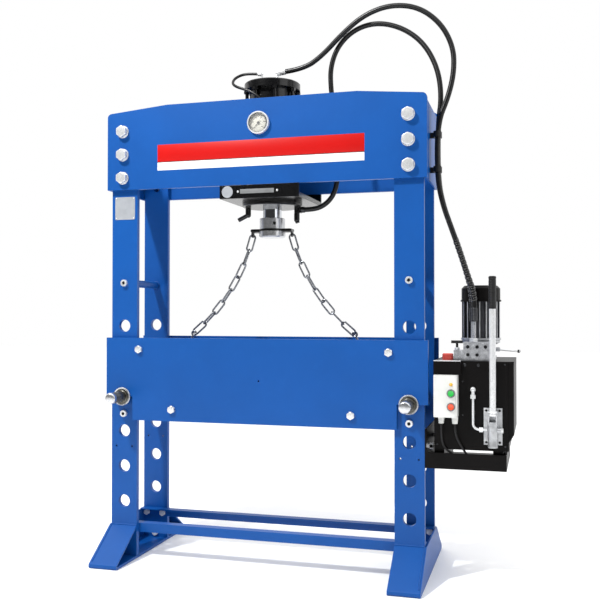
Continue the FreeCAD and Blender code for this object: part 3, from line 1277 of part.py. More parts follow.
def valve_block():
    """The stepped manifold in front of the motor, with the pipe stubs for the hoses."""
    outline = [(VALVE_LEFT, LID_TOP), (VALVE_RIGHT, LID_TOP), (VALVE_RIGHT, VALVE_TOP),
               (VALVE_STEP, VALVE_TOP), (VALVE_STEP, VALVE_LOW_TOP), (VALVE_LEFT, VALVE_LOW_TOP)]
    block = plate_xz(outline, VALVE_FRONT, VALVE_BACK)
    ferrule_end = HOSE_FOOT_Z - FERRULE
    for x, y in (SUPPLY_FOOT, RETURN_FOOT):
        block = block.fuse(rod(STUB_R, (x, y, VALVE_TOP), (x, y, ferrule_end)))
        block = block.fuse(hexagon(STUB_NUT_AF, (x, y, VALVE_TOP), (x, y, VALVE_TOP + STUB_NUT)))
    hole_end = VALVE_LOW_TOP - KNOB_HOLE_DEEP
    block = block.cut(rod(KNOB_STEM_R + RUNNING_FIT, (KNOB_X, VALVE_LEVER_Y, hole_end),
                          (KNOB_X, VALVE_LEVER_Y, VALVE_LOW_TOP)))
    pivot_x = VALVE_RIGHT + VALVE_EYE_R + VALVE_EYE_GAP
    for way in (-1, 1):
        y0 = VALVE_LEVER_Y + way * (VALVE_CLEVIS / 2 + SEAT_GAP)
        y1 = y0 + way * VALVE_EAR
        ear = box(VALVE_RIGHT, pivot_x + VALVE_EAR_REACH, min(y0, y1), max(y0, y1),
                  VALVE_LEVER_Z - VALVE_EAR_HALF, VALVE_LEVER_Z + VALVE_EAR_HALF)
        block = block.fuse(ear)
    pin_reach = VALVE_CLEVIS / 2 + VALVE_EAR
    block = block.fuse(rod(VALVE_PIN_R, (pivot_x, VALVE_LEVER_Y - pin_reach, VALVE_LEVER_Z),
                           (pivot_x, VALVE_LEVER_Y + pin_reach, VALVE_LEVER_Z)))
    return block.removeSplitter()


def valve_lever():
    """The hand lever of the directional valve, thinned at its eye, with a ball on its end."""
    pivot_x = VALVE_RIGHT + VALVE_EYE_R + VALVE_EYE_GAP
    half = VALVE_CLEVIS / 2
    y = VALVE_LEVER_Y
    z = VALVE_LEVER_Z
    tip = (TANK_RIGHT + VALVE_LEVER_PAST, y, z - VALVE_LEVER_DROP)
    eye = rod(VALVE_EYE_R, (pivot_x, y - half, z), (pivot_x, y + half, z))
    arm = rod(VALVE_LEVER_R, (pivot_x + VALVE_EYE_R / 2, y, z), tip)
    thick_from = pivot_x + VALVE_EYE_R + 2
    for way in (-1, 1):
        y0 = y + way * half
        y1 = y + way * VALVE_EYE_R
        arm = arm.cut(box(pivot_x, thick_from, min(y0, y1), max(y0, y1),
                          z - VALVE_EYE_R, z + VALVE_EYE_R))
    shape = eye.fuse(arm).fuse(Part.makeSphere(VALVE_BALL_R, V(*tip)))
    return shape.cut(rod(VALVE_PIN_R + RUNNING_FIT, (pivot_x, y - half, z),
                         (pivot_x, y + half, z))).removeSplitter()


def relief_knob():
    """The T-handled relief screw on the manifold."""
    y = VALVE_LEVER_Y
    stem = rod(KNOB_STEM_R, (KNOB_X, y, VALVE_LOW_TOP - KNOB_STEM_DEEP), (KNOB_X, y, KNOB_Z))
    bar = rod(KNOB_R, (KNOB_X - KNOB_BAR / 2, y, KNOB_Z), (KNOB_X + KNOB_BAR / 2, y, KNOB_Z))
    return stem.fuse(bar).removeSplitter()


def filler_cap():
    """The screwed filler cap with finger grips round its rim."""
    foot = LID_TOP + SEAT_GAP
    top = foot + FILLER_HEIGHT
    neck = FILLER_NECK_R + SEAT_GAP
    ceiling = foot + FILLER_NECK + 1
    cap = turned([(neck, foot), (FILLER_R, foot), (FILLER_R, top - FILLER_CHAMFER),
                  (FILLER_R - FILLER_CHAMFER, top), (0, top), (0, ceiling), (neck, ceiling)],
                 CAP_X, CAP_Y)
    grip_circle = FILLER_R + 1
    for k in range(FILLER_GRIPS):
        angle = 2 * math.pi * k / FILLER_GRIPS
        x = CAP_X + grip_circle * math.cos(angle)
        y = CAP_Y + grip_circle * math.sin(angle)
        cap = cap.cut(rod(FILLER_GRIP_R, (x, y, foot), (x, y, top - FILLER_GRIP_STOP)))
    return cap


def hand_pump_body():
    """The hand pump: a holed flange, an upright barrel, two ears with a pivot and a side plug."""
    back = COVER_FACE
    front = back - PUMP_PLATE
    plate = box(PUMP_X - PUMP_PLATE_HALF, PUMP_X + PUMP_PLATE_HALF, front, back,
                PUMP_PLATE_BOTTOM, PUMP_PLATE_TOP)
    for side in (-1, 1):
        for z in (PUMP_PLATE_BOTTOM + PUMP_PLATE_INSET, PUMP_PLATE_TOP - PUMP_PLATE_INSET):
            x = PUMP_X + side * (PUMP_PLATE_HALF - PUMP_PLATE_INSET)
            plate = plate.cut(rod(PUMP_PLATE_HOLE_R, (x, front, z), (x, back, z)))
    barrel = rod(PUMP_BODY_R, (PUMP_X, PUMP_Y, PUMP_BOTTOM), (PUMP_X, PUMP_Y, PUMP_BODY_TOP))
    web = box(PUMP_X - PUMP_WEB_HALF, PUMP_X + PUMP_WEB_HALF, PUMP_Y, front,
              PUMP_PLATE_BOTTOM, PUMP_BODY_TOP)
    shape = plate.fuse(barrel).fuse(web)
    for side in (-1, 1):
        near = PUMP_X + side * (PUMP_EYE_WIDTH / 2 + SEAT_GAP)
        far = near + side * PUMP_EAR
        low, high = min(near, far), max(near, far)
        ear = box(low, high, PUMP_Y - PUMP_EAR_R, front, PUMP_BODY_TOP - PUMP_EAR_ROOT,
                  PUMP_PIVOT_Z)
        round_top = rod(PUMP_EAR_R, (low, PUMP_Y, PUMP_PIVOT_Z), (high, PUMP_Y, PUMP_PIVOT_Z))
        shape = shape.fuse(ear).fuse(round_top)
    reach = PUMP_EYE_WIDTH / 2 + SEAT_GAP + PUMP_EAR + PUMP_PIVOT_HEAD
    shape = shape.fuse(rod(PUMP_PIVOT_R, (PUMP_X - reach, PUMP_Y, PUMP_PIVOT_Z),
                           (PUMP_X + reach, PUMP_Y, PUMP_PIVOT_Z)))
    shape = shape.fuse(rod(PUMP_LUG_R, (PUMP_X, PUMP_Y, PUMP_LUG_Z),
                           (PUMP_X + PUMP_LUG, PUMP_Y, PUMP_LUG_Z)))
    return shape.removeSplitter()


def hand_pump_lever():
    """The pump's long tubular lever, on an eye between the ears."""
    eye_low = PUMP_PIVOT_Z + PUMP_NECK_RISE
    half = PUMP_EYE_WIDTH / 2
    eye = rod(PUMP_EYE_R, (PUMP_X - half, PUMP_Y, PUMP_PIVOT_Z),
              (PUMP_X + half, PUMP_Y, PUMP_PIVOT_Z))
    neck = box(PUMP_X - half, PUMP_X + half, PUMP_Y - PUMP_NECK / 2, PUMP_Y + PUMP_NECK / 2,
               PUMP_PIVOT_Z, eye_low)
    shaft = rod(LEVER_R, (PUMP_X, PUMP_Y, eye_low), (PUMP_X, PUMP_Y, LEVER_TOP))
    shape = eye.fuse(neck).fuse(shaft)
    hole = rod(PUMP_PIVOT_R + RUNNING_FIT, (PUMP_X - half, PUMP_Y, PUMP_PIVOT_Z),
               (PUMP_X + half, PUMP_Y, PUMP_PIVOT_Z))
    return shape.cut(hole).removeSplitter()


def hand_pump_grip():
    """The rubber grip on the lever."""
    bore = LEVER_R + SEAT_GAP / 2
    return turned([(bore, GRIP_BOTTOM), (GRIP_R, GRIP_BOTTOM), (GRIP_R, GRIP_TOP - GRIP_CHAMFER),
                   (GRIP_R - GRIP_CHAMFER, GRIP_TOP), (0, GRIP_TOP), (0, LEVER_TOP + SEAT_GAP),
                   (bore, LEVER_TOP + SEAT_GAP)], PUMP_X, PUMP_Y)


def oil_pipe():
    """The steel pipe from the tank's elbow down and across to the hand pump."""
    back = COVER_FACE
    end_x = PUMP_X - PUMP_BODY_R - PIPE_GAP
    start = V(PIPE_X, PIPE_Y, PIPE_TOP)
    bend_top = V(PIPE_X, PIPE_Y, PUMP_LUG_Z + PIPE_BEND)
    bend_end = V(PIPE_X + PIPE_BEND, PIPE_Y, PUMP_LUG_Z)
    lean = PIPE_BEND * (1 - math.sqrt(0.5))
    middle = V(PIPE_X + lean, PIPE_Y, PUMP_LUG_Z + lean)
    path = Part.Wire([Part.LineSegment(start, bend_top).toShape(),
                      Part.Arc(bend_top, middle, bend_end).toShape(),
                      Part.LineSegment(bend_end, V(end_x, PIPE_Y, PUMP_LUG_Z)).toShape()])
    section = Part.Wire(Part.makeCircle(PIPE_R, start, V(0, 0, -1)))
    shape = path.makePipeShell([section], True, False)
    shape = shape.fuse(hexagon(PIPE_NUT_AF, (PIPE_X + PIPE_BEND, PIPE_Y, PUMP_LUG_Z),
                               (PIPE_X + PIPE_BEND + PIPE_NUT, PIPE_Y, PUMP_LUG_Z)))
    shape = shape.fuse(hexagon(PIPE_TOP_NUT_AF, (PIPE_X, PIPE_Y, PIPE_TOP),
                               (PIPE_X, PIPE_Y, PIPE_TOP + PIPE_NUT)))
    shape = shape.fuse(rod(PIPE_R + ELBOW_WALL, (PIPE_X, PIPE_Y, PIPE_TOP), (PIPE_X, PIPE_Y, ELBOW_Z)))
    shape = shape.fuse(Part.makeSphere(ELBOW_R, V(PIPE_X, PIPE_Y, ELBOW_Z)))
    shape = shape.fuse(rod(ELBOW_R - ELBOW_WALL, (PIPE_X, PIPE_Y, ELBOW_Z), (PIPE_X, back, ELBOW_Z)))
    return shape.removeSplitter()


def starter_box():
    """The moulded starter housing, bored for its buttons, with two cable glands beneath."""
    shape = box(STARTER_LEFT, STARTER_RIGHT, STARTER_FRONT, COVER_FACE, STARTER_BOTTOM, STARTER_TOP)
    shape = shape.makeFillet(STARTER_EDGE, edges_where(
        shape, lambda c, d: abs(d.z) > 0.9 and c.y < STARTER_FRONT + 1))
    for z in BUTTON_HEIGHTS.values():
        ring = rod(BUTTON_RING_R, (BUTTON_X, STARTER_FRONT - BUTTON_RING, z),
                   (BUTTON_X, STARTER_FRONT, z))
        shape = shape.fuse(ring)
        deep = STARTER_FRONT + BUTTON_DEEP + BUTTON_TRAVEL + BUTTON_FLOOR
        shape = shape.cut(rod(BUTTON_R + RUNNING_FIT, (BUTTON_X, STARTER_FRONT - BUTTON_RING, z),
                              (BUTTON_X, deep, z)))
    for route in (STARTER_CABLE_ROUTE, MOTOR_CABLE_ROUTE):
        x, y, z = route[0]
        shape = shape.fuse(rod(GLAND_NUT_R, (x, y, z), (x, y, STARTER_BOTTOM)))
    return shape.removeSplitter()


def push_button(z):
    """A round push button with a shallow dished face."""
    front = STARTER_FRONT - BUTTON_RING - BUTTON_PROUD
    back = STARTER_FRONT + BUTTON_DEEP
    return turned_y([(0, front + BUTTON_DISH), (BUTTON_R - BUTTON_DISH_EDGE, front),
                     (BUTTON_R - BUTTON_CHAMFER, front), (BUTTON_R, front + BUTTON_CHAMFER),
                     (BUTTON_R, back), (0, back)], BUTTON_X, z)


# ---------------------------------------------------------------- saving
def save(name, pieces):
    """Write one node, moved so that the origin is under the middle of the object."""
    if isinstance(pieces, list):
        shape = Part.makeCompound(pieces) if len(pieces) > 1 else pieces[0]
    else:
        shape = pieces
    shape = shape.copy()
    shape.translate(V(-MIDDLE, 0, 0))
    shape.exportStep("parts/" + name + ".step")


def main():
    """Build every node."""
    os.makedirs("parts", exist_ok=True)
    sides = {"left": -1, "right": 1}
    faces = {"front": -1, "rear": 1}
    for face_name, face in faces.items():
        for side_name, side in sides.items():
            save("upright_" + face_name + "_" + side_name, upright(side, face))
        save("stretcher_" + face_name, stretcher(face))
        save("head_plate_" + face_name, head_plate(face))
        save("bed_plate_" + face_name, bed_plate(face))
    for side_name, side in sides.items():
        save("foot_" + side_name, foot(side))
        save("support_pin_" + side_name, support_pin(side))
        save("chain_" + side_name, chain(side))
    save("frame_spacers", frame_spacers())
    save("frame_bolts", frame_bolts())
    save("bed_cross_bars", bed_cross_bars())
    save("bed_bolts", bed_bolts())
    save("carriage_plate", carriage_plate())
    save("carriage_bars", carriage_bars())
    save("cylinder_barrel", cylinder_barrel())
    save("cylinder_cap", cylinder_cap())
    save("cylinder_gland", cylinder_gland())
    save("cylinder_tie_rods", cylinder_tie_rods())
    save("piston", piston())
    save("ram_rod", ram_rod())
    save("ram_nose", ram_nose())
    save("ram_collar", ram_collar())
    save("chain_plate", chain_plate())
    save("gauge_case", gauge_case())
    save("gauge_glass", gauge_glass())
    save("gauge_needle", gauge_needle())
    save("supply_hose", tube_route(SUPPLY_ROUTE, HOSE_D, "supply hose"))
    save("return_hose", tube_route(RETURN_ROUTE, HOSE_D, "return hose"))
    save("gauge_hose", tube_route(GAUGE_ROUTE, GAUGE_HOSE_D, "gauge hose"))
    save("starter_cable", tube_route(STARTER_CABLE_ROUTE, CABLE_D, "starter cable"))
    save("motor_cable", tube_route(MOTOR_CABLE_ROUTE, CABLE_D, "motor cable"))
    save("hose_fittings", hose_fittings())
    save("hose_clips", hose_clips())
    save("shelf", shelf())
    save("tank", tank())
    save("tank_cover", tank_cover())
    save("tank_lid", tank_lid())
    save("motor_body", motor_body())
    save("motor_fan_cover", motor_fan_cover())
    save("motor_rotor", motor_rotor())
    save("bell_housing", bell_housing())
    save("valve_block", valve_block())
    save("valve_lever", valve_lever())
    save("relief_knob", relief_knob())
    save("filler_cap", filler_cap())
    save("hand_pump_body", hand_pump_body())
    save("hand_pump_lever", hand_pump_lever())
    save("hand_pump_grip", hand_pump_grip())
    save("oil_pipe", oil_pipe())
    save("starter_box", starter_box())
    for name, z in BUTTON_HEIGHTS.items():
        save(name, push_button(z))


main()
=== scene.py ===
"""Looks of an electro-hydraulic H-frame press: powder-coated plate, zinc hardware, hoses and pack."""
import logging
import math
from contextlib import contextmanager
from dataclasses import dataclass, field
from enum import Enum
from typing import Callable, Iterator, Sequence

import bmesh
import bpy
from mathutils import Matrix, Vector


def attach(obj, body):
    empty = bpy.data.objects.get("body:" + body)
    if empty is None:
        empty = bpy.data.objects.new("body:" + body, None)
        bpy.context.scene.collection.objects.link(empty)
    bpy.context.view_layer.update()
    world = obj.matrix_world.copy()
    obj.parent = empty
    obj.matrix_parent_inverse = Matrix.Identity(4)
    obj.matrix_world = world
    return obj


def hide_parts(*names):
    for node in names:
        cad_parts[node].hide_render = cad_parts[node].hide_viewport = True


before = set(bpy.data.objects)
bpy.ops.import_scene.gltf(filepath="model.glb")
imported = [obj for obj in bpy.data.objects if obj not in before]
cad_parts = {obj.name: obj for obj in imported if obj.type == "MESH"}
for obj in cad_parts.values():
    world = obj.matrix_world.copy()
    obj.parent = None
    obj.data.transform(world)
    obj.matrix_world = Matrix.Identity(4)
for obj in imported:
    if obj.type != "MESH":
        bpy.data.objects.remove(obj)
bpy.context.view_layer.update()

log = logging.getLogger("press")
Point = tuple[float, float, float]

MM = 0.001
MIDDLE = 179.0          # the press stands this far to the left of the object's middle, in mm
FRONT_OF_HEAD = -192.0
FRONT_OF_UPRIGHT = -172.0


class Body(str, Enum):
    """The rigid bodies that pieces ride on."""

    FRAME = "frame"
    BED = "bed"
    PIN_LEFT = "pin_left"
    PIN_RIGHT = "pin_right"
    RAM = "ram"
    NEEDLE = "needle"
    PUMP = "pump_lever"
    START = "start"
    STOP = "stop"
    VALVE = "valve_handle"
    RELIEF = "relief_handle"
    FILLER = "filler"


def at(x: float, y: float, z: float) -> Vector:
    """A point given in millimetres about the press's mid-plane, in metres in the row frame."""
    return Vector(((x - MIDDLE) * MM, y * MM, z * MM))


def colour(hex_value: str, alpha: float = 1.0) -> tuple[float, float, float, float]:
    """Turns an sRGB hex colour into linear light.

    Args:
        hex_value: six hexadecimal digits.
        alpha: the opacity to go with it.

    Returns:
        The red, green, blue and alpha values that a shader socket takes.
    """
    channels = []
    for k in (0, 2, 4):
        value = int(hex_value[k:k + 2], 16) / 255
        channels.append(value / 12.92 if value <= 0.04045 else ((value + 0.055) / 1.055) ** 2.4)
    return (*channels, alpha)


# ---------------------------------------------------------------- finishes
def add_node(tree: bpy.types.NodeTree, kind: str, settings: dict | None = None,
             links: dict | None = None) -> bpy.types.Node:
    """Adds a node with its settings and its links.

    Args:
        tree: the node tree to add to.
        kind: the node's type.
        settings: attribute names or input names, and their values.
        links: input names, and the output sockets that feed them.

    Returns:
        The new node.
    """
    node = tree.nodes.new(kind)
    for key, value in (settings or {}).items():
        if hasattr(node, key):
            setattr(node, key, value)
        else:
            node.inputs[key].default_value = value
    for key, socket in (links or {}).items():
        tree.links.new(socket, node.inputs[key])
    return node


@dataclass(frozen=True)
class Finish:
    """A surface: what it is made of, and how it was made.

    Sizes of patterns are in millimetres, and depths are the bump's height.
    """

    name: str
    base: str
    shade: str
    roughness: float
    metallic: float = 0.0
    ior: float | None = None
    coat: float = 0.0
    mottle_mm: float = 120.0
    grain_mm: float = 2.0
    grain_depth_mm: float = 0.02
    roughness_swing: float = 0.06
    stretch: Point = (1.0, 1.0, 1.0)
    dust: str | None = None
    dust_amount: float = 0.0
    alpha: float = 1.0

    def make(self) -> bpy.types.Material:
        """Builds the material once, and returns it."""
        found = bpy.data.materials.get(self.name)
        if found:
            return found
        material = bpy.data.materials.new(self.name)
        material.use_nodes = True
        tree = material.node_tree
        shader = tree.nodes["Principled BSDF"]
        shader.inputs["Metallic"].default_value = self.metallic
        if self.ior:
            shader.inputs["IOR"].default_value = self.ior
        shader.inputs["Coat Weight"].default_value = self.coat
        shader.inputs["Coat Roughness"].default_value = 0.12
        shader.inputs["Alpha"].default_value = self.alpha
        place = add_node(tree, "ShaderNodeTexCoord").outputs["Object"]
        drawn = add_node(tree, "ShaderNodeMapping", {"Scale": self.stretch}, {"Vector": place})
        broad = add_node(tree, "ShaderNodeTexNoise",
                         {"Scale": 1000 / self.mottle_mm, "Detail": 4.0, "Roughness": 0.6},
                         {"Vector": place})
        fine = add_node(tree, "ShaderNodeTexNoise",
                        {"Scale": 1000 / self.grain_mm, "Detail": 3.0, "Roughness": 0.55},
                        {"Vector": drawn.outputs["Vector"]})
        spread = add_node(tree, "ShaderNodeMapRange",
                          {"From Min": 0.3, "From Max": 0.7}, {"Value": broad.outputs["Fac"]})
        tint = add_node(tree, "ShaderNodeMix", {"data_type": "RGBA"},
                        {"Factor": spread.outputs["Result"]})
        colours = [socket for socket in tint.inputs if socket.type == "RGBA"]
        colours[0].default_value = colour(self.base)
        colours[1].default_value = colour(self.shade)
        result = [socket for socket in tint.outputs if socket.type == "RGBA"][0]
        if self.dust:
            result = self.dusted(tree, result, place)
        tree.links.new(result, shader.inputs["Base Color"])
        rough = add_node(tree, "ShaderNodeMapRange",
                         {"From Min": 0.3, "From Max": 0.7,
                          "To Min": max(0.02, self.roughness - self.roughness_swing),
                          "To Max": min(1.0, self.roughness + self.roughness_swing)},
                         {"Value": fine.outputs["Fac"]})
        tree.links.new(rough.outputs["Result"], shader.inputs["Roughness"])
        bump = add_node(tree, "ShaderNodeBump",
                        {"Strength": 1.0, "Distance": self.grain_depth_mm * MM},
                        {"Height": fine.outputs["Fac"]})
        tree.links.new(bump.outputs["Normal"], shader.inputs["Normal"])
        return material

    def dusted(self, tree: bpy.types.NodeTree, under: bpy.types.NodeSocket,
               place: bpy.types.NodeSocket) -> bpy.types.NodeSocket:
        """Lays rubbed or dusty patches over a colour.

        Args:
            tree: the material's tree.
            under: the colour below.
            place: the object coordinates.

        Returns:
            The socket of the mixed colour.
        """
        patches = add_node(tree, "ShaderNodeTexNoise",
                           {"Scale": 1000 / 45.0, "Detail": 8.0, "Roughness": 0.7},
                           {"Vector": place})
        edge = add_node(tree, "ShaderNodeMapRange",
                        {"From Min": 0.55, "From Max": 0.8, "To Max": self.dust_amount},
                        {"Value": patches.outputs["Fac"]})
        mix = add_node(tree, "ShaderNodeMix", {"data_type": "RGBA"},
                       {"Factor": edge.outputs["Result"]})
        colours = [socket for socket in mix.inputs if socket.type == "RGBA"]
        tree.links.new(under, colours[0])
        colours[1].default_value = colour(self.dust)
        return [socket for socket in mix.outputs if socket.type == "RGBA"][0]


# Powder coat on plate: even colour, a soft gloss, and orange peel of about 2 mm.
BLUE_COAT = Finish("powder_coat_blue", "06509E", "054B95", 0.42, ior=1.36,
                   mottle_mm=260, grain_mm=2.2, grain_depth_mm=0.03,
                   dust="1862B0", dust_amount=0.2)
# Sprayed black enamel on the cylinder: deep and glossy, with a fine peel.
BLACK_ENAMEL = Finish("enamel_black_gloss", "050506", "09090B", 0.26, ior=1.42, coat=0.15,
                      mottle_mm=80, grain_mm=2.5, grain_depth_mm=0.03)
# Satin black powder coat on folded sheet: near black with a brown cast.
TANK_COAT = Finish("powder_coat_black", "060505", "0A0808", 0.4, ior=1.22,
                   mottle_mm=150, grain_mm=1.2, grain_depth_mm=0.04,
                   dust="1C1917", dust_amount=0.25)
# Bright zinc plate on bolts and fittings: pale grey with a faint yellow passivation.
ZINC = Finish("zinc_plate_bright", "EEEFF0", "DDDFE0", 0.32, metallic=0.6,
              mottle_mm=14, grain_mm=0.9, grain_depth_mm=0.01, roughness_swing=0.1)
# Galvanised chain: duller and cooler than plate, with a spangle of a few millimetres.
CHAIN_ZINC = Finish("zinc_galvanised_chain", "A4A6AA", "6E7074", 0.25, metallic=1.0,
                    mottle_mm=9, grain_mm=1.2, grain_depth_mm=0.05, roughness_swing=0.12,
                    dust="2E2D2C", dust_amount=0.45)
# Turned steel: a fine grain that breaks the highlight up, and oil-dark patches.
TURNED = Finish("steel_turned", "DCDDDF", "BFC1C4", 0.27, metallic=0.9,
                mottle_mm=30, grain_mm=0.8, grain_depth_mm=0.015, roughness_swing=0.1,
                dust="77746F", dust_amount=0.3)
# Hard chrome on the ram: mirror-like.
CHROME = Finish("hard_chrome", "D5D8DC", "C6C9CE", 0.08, metallic=1.0,
                mottle_mm=60, grain_mm=0.6, grain_depth_mm=0.002, roughness_swing=0.03)
# Cast aluminium: light and matt, with a sand-cast grain of about 1 mm.
CAST_ALLOY = Finish("aluminium_cast", "D8DADC", "ACAEB1", 0.38, metallic=0.9,
                    mottle_mm=25, grain_mm=1.1, grain_depth_mm=0.08, roughness_swing=0.1,
                    dust="6B6964", dust_amount=0.35)
# Painted motor casting: dark grey with a metallic glint on the fins.
MOTOR_GREY = Finish("enamel_motor_grey", "3A3B3F", "4A4B50", 0.3, metallic=0.7,
                    mottle_mm=30, grain_mm=1.3, grain_depth_mm=0.05)
# Wrapped rubber cover of a hydraulic hose: black, with the cloth print left by curing.
HOSE_RUBBER = Finish("rubber_wrapped_cover", "070708", "0E0F10", 0.32, ior=1.4,
                     mottle_mm=22, grain_mm=1.6, grain_depth_mm=0.06, roughness_swing=0.1,
                     dust="4C4D50", dust_amount=0.2)
# Polyethylene spiral guard: smooth and waxy, so it glints along each turn.
GUARD_PE = Finish("polyethylene_spiral", "040405", "09090A", 0.16, ior=1.45, coat=0.5,
                  mottle_mm=20, grain_mm=3.0, grain_depth_mm=0.03)
# Moulded black nylon: small knobs, caps and grips.
NYLON = Finish("nylon_moulded_black", "0A0A0B", "121213", 0.42, ior=1.4,
               mottle_mm=20, grain_mm=0.8, grain_depth_mm=0.03)
# Moulded ABS: the pale starter housing.
ABS_GREY = Finish("abs_moulded_pale", "E4E5E2", "D9DAD6", 0.38, ior=1.54,
                  mottle_mm=60, grain_mm=0.9, grain_depth_mm=0.02)
ABS_DARK = Finish("abs_moulded_grey", "7D7F80", "6D6F70", 0.42, ior=1.54,
                  mottle_mm=40, grain_mm=0.9, grain_depth_mm=0.02)
# Moulded acrylic caps of the push buttons and the lamp.
GREEN_CAP = Finish("acrylic_green", "2CBE4E", "25AC44", 0.22, ior=1.49, coat=0.5,
                   mottle_mm=10, grain_mm=1.5, grain_depth_mm=0.01)
RED_CAP = Finish("acrylic_red", "F25A35", "E84C2A", 0.22, ior=1.49, coat=0.5,
                 mottle_mm=10, grain_mm=1.5, grain_depth_mm=0.01)
AMBER_CAP = Finish("acrylic_amber", "E9B437", "DCA52B", 0.22, ior=1.49, coat=0.5,
                   mottle_mm=10, grain_mm=1.5, grain_depth_mm=0.01)
# Moulded red nylon of the filler cap.
FILLER_RED = Finish("nylon_moulded_red", "D9564C", "C4443B", 0.4, ior=1.53,
                    mottle_mm=15, grain_mm=0.9, grain_depth_mm=0.03,
                    dust="F2CFC9", dust_amount=0.6)
# Printed vinyl film on the head: flat and even, with a light gloss.
RED_FILM = Finish("vinyl_film_red", "C40A07", "BC0906", 0.4, ior=1.36,
                  mottle_mm=180, grain_mm=4.0, grain_depth_mm=0.015)
WHITE_FILM = Finish("vinyl_film_white", "F4F4F3", "ECECEB", 0.3, ior=1.5,
                    mottle_mm=180, grain_mm=4.0, grain_depth_mm=0.015)
BLACK_FILM = Finish("vinyl_film_black", "1B1416", "241A1C", 0.35, ior=1.5,
                    mottle_mm=60, grain_mm=4.0, grain_depth_mm=0.015)
# Anodised aluminium sheet of the bare plates: a fine brushed grain along X.
PLATE_ALLOY = Finish("aluminium_anodised", "BDC1C6", "AFB3B9", 0.38, metallic=0.4,
                     mottle_mm=40, grain_mm=0.8, grain_depth_mm=0.01, stretch=(0.05, 1.0, 1.0))
# Stove-enamelled dial: clean white.
DIAL_WHITE = Finish("enamel_dial_white", "D4D2C6", "CAC8BC", 0.35, ior=1.5,
                    mottle_mm=25, grain_mm=1.0, grain_depth_mm=0.005)
DIAL_BLACK = Finish("ink_black", "17171A", "101012", 0.5, ior=1.5,
                    mottle_mm=25, grain_mm=1.0, grain_depth_mm=0.005)
# Acrylic window of the gauge.
WINDOW = Finish("acrylic_window", "FFFFFF", "FBFCFC", 0.03, ior=1.49, alpha=0.06,
                mottle_mm=60, grain_mm=20.0, grain_depth_mm=0.001, roughness_swing=0.01)
# Steel blacked by oil and scale: the plate that the chains hang from. The same dark steel fills the
# tie bolts' sockets as painted shade of their deep recesses.
BLACK_STEEL_AND_SHADE = Finish("steel_blacked_and_socket_shade", "121214", "1E1E20", 0.38, metallic=0.5,
                 mottle_mm=18, grain_mm=1.0, grain_depth_mm=0.03, roughness_swing=0.1,
                 dust="4A4845", dust_amount=0.4)
# Matte zinc flake on the bolts of the feet: pale grey that takes light from all round.
ZINC_FLAKE = Finish("zinc_flake_matte", "DADCDF", "C2C4C8", 0.45, metallic=0.1,
                    mottle_mm=12, grain_mm=0.9, grain_depth_mm=0.01, roughness_swing=0.1)
# Crimped steel under a dark passivation: the hose sleeves. The same dark steel lines the gauge's
# bezel inside, as painted shade of its inner wall.
SLEEVE_STEEL = Finish("steel_passivated_dark_and_painted_shade", "4A4B4E", "2E2F31", 0.34, metallic=0.85,
                      mottle_mm=12, grain_mm=0.9, grain_depth_mm=0.02, roughness_swing=0.1)
# Ground pins gone dull in use, with oily patches; their dark tone is partly painted shade of the
# collar's face and the neck.
PIN_STEEL = Finish("steel_turned_dull_and_painted_shade", "77766F", "4A4843", 0.34, metallic=0.9,
                   mottle_mm=26, grain_mm=0.8, grain_depth_mm=0.02, roughness_swing=0.12,
                   dust="2A2826", dust_amount=0.6)
# Drawn steel of the valve block under dull zinc, with patches of oily dirt.
VALVE_STEEL = Finish("steel_drawn_dull_zinc", "D6D8DC", "9C9EA3", 0.3, metallic=0.85,
                     mottle_mm=16, grain_mm=0.9, grain_depth_mm=0.02, roughness_swing=0.15,
                     dust="3A3836", dust_amount=0.5)
# Painted highlight: a bright metal on the outer edges of the motor's fins, standing for their glints.
FIN_HIGHLIGHT = Finish("fin_edge_painted_highlight", "D6D8DB", "B4B6B9", 0.32, metallic=0.85,
                  mottle_mm=30, grain_mm=0.8, grain_depth_mm=0.02)
# Studio floor: pale and matt.
STUDIO_FLOOR = Finish("floor_paint_pale", "FEFEFE", "FCFCFC", 0.85, ior=1.45,
                      mottle_mm=900, grain_mm=6.0, grain_depth_mm=0.02)

NODE_FINISHES: dict[Finish, tuple[str, ...]] = {
    BLUE_COAT: ("upright_front_left", "upright_front_right", "upright_rear_left",
                "upright_rear_right", "stretcher_front", "stretcher_rear", "head_plate_front",
                "head_plate_rear", "bed_plate_front", "bed_plate_rear", "foot_left",
                "foot_right", "frame_spacers", "bed_cross_bars"),
    BLACK_ENAMEL: ("carriage_plate", "carriage_bars", "cylinder_barrel", "cylinder_cap",
                   "cylinder_gland", "cylinder_tie_rods"),
    TANK_COAT: ("shelf", "tank", "tank_cover", "tank_lid", "motor_fan_cover"),
    ZINC: ("frame_bolts", "bed_bolts", "hose_fittings", "gauge_case", "hand_pump_body",
           "hand_pump_lever", "oil_pipe", "valve_lever"),
    CHAIN_ZINC: ("chain_left", "chain_right"),
    TURNED: ("ram_nose", "ram_collar", "piston", "motor_rotor"),
    BLACK_STEEL_AND_SHADE: ("chain_plate",),
    PIN_STEEL: ("support_pin_left", "support_pin_right"),
    CHROME: ("ram_rod",),
    CAST_ALLOY: ("bell_housing",),
    VALVE_STEEL: ("valve_block",),
    MOTOR_GREY: ("motor_body",),
    HOSE_RUBBER: ("supply_hose", "return_hose", "gauge_hose", "starter_cable", "motor_cable"),
    NYLON: ("relief_knob", "hand_pump_grip", "hose_clips"),
    DIAL_BLACK: ("gauge_needle",),
    ABS_GREY: ("starter_box",),
    GREEN_CAP: ("start_button",),
    RED_CAP: ("stop_button",),
    FILLER_RED: ("filler_cap",),
    WINDOW: ("gauge_glass",),
}


# ---------------------------------------------------------------- modelling by hand
def clear_selection() -> None:
    """Leaves object mode with nothing selected."""
    if bpy.context.object and bpy.context.object.mode != "OBJECT":
        bpy.ops.object.mode_set(mode="OBJECT")
    bpy.ops.object.select_all(action="DESELECT")


def choose(*objects: bpy.types.Object) -> None:
    """Selects these objects alone, the first one active."""
    clear_selection()
    for obj in objects:
        obj.select_set(True)
    bpy.context.view_layer.objects.active = objects[0]


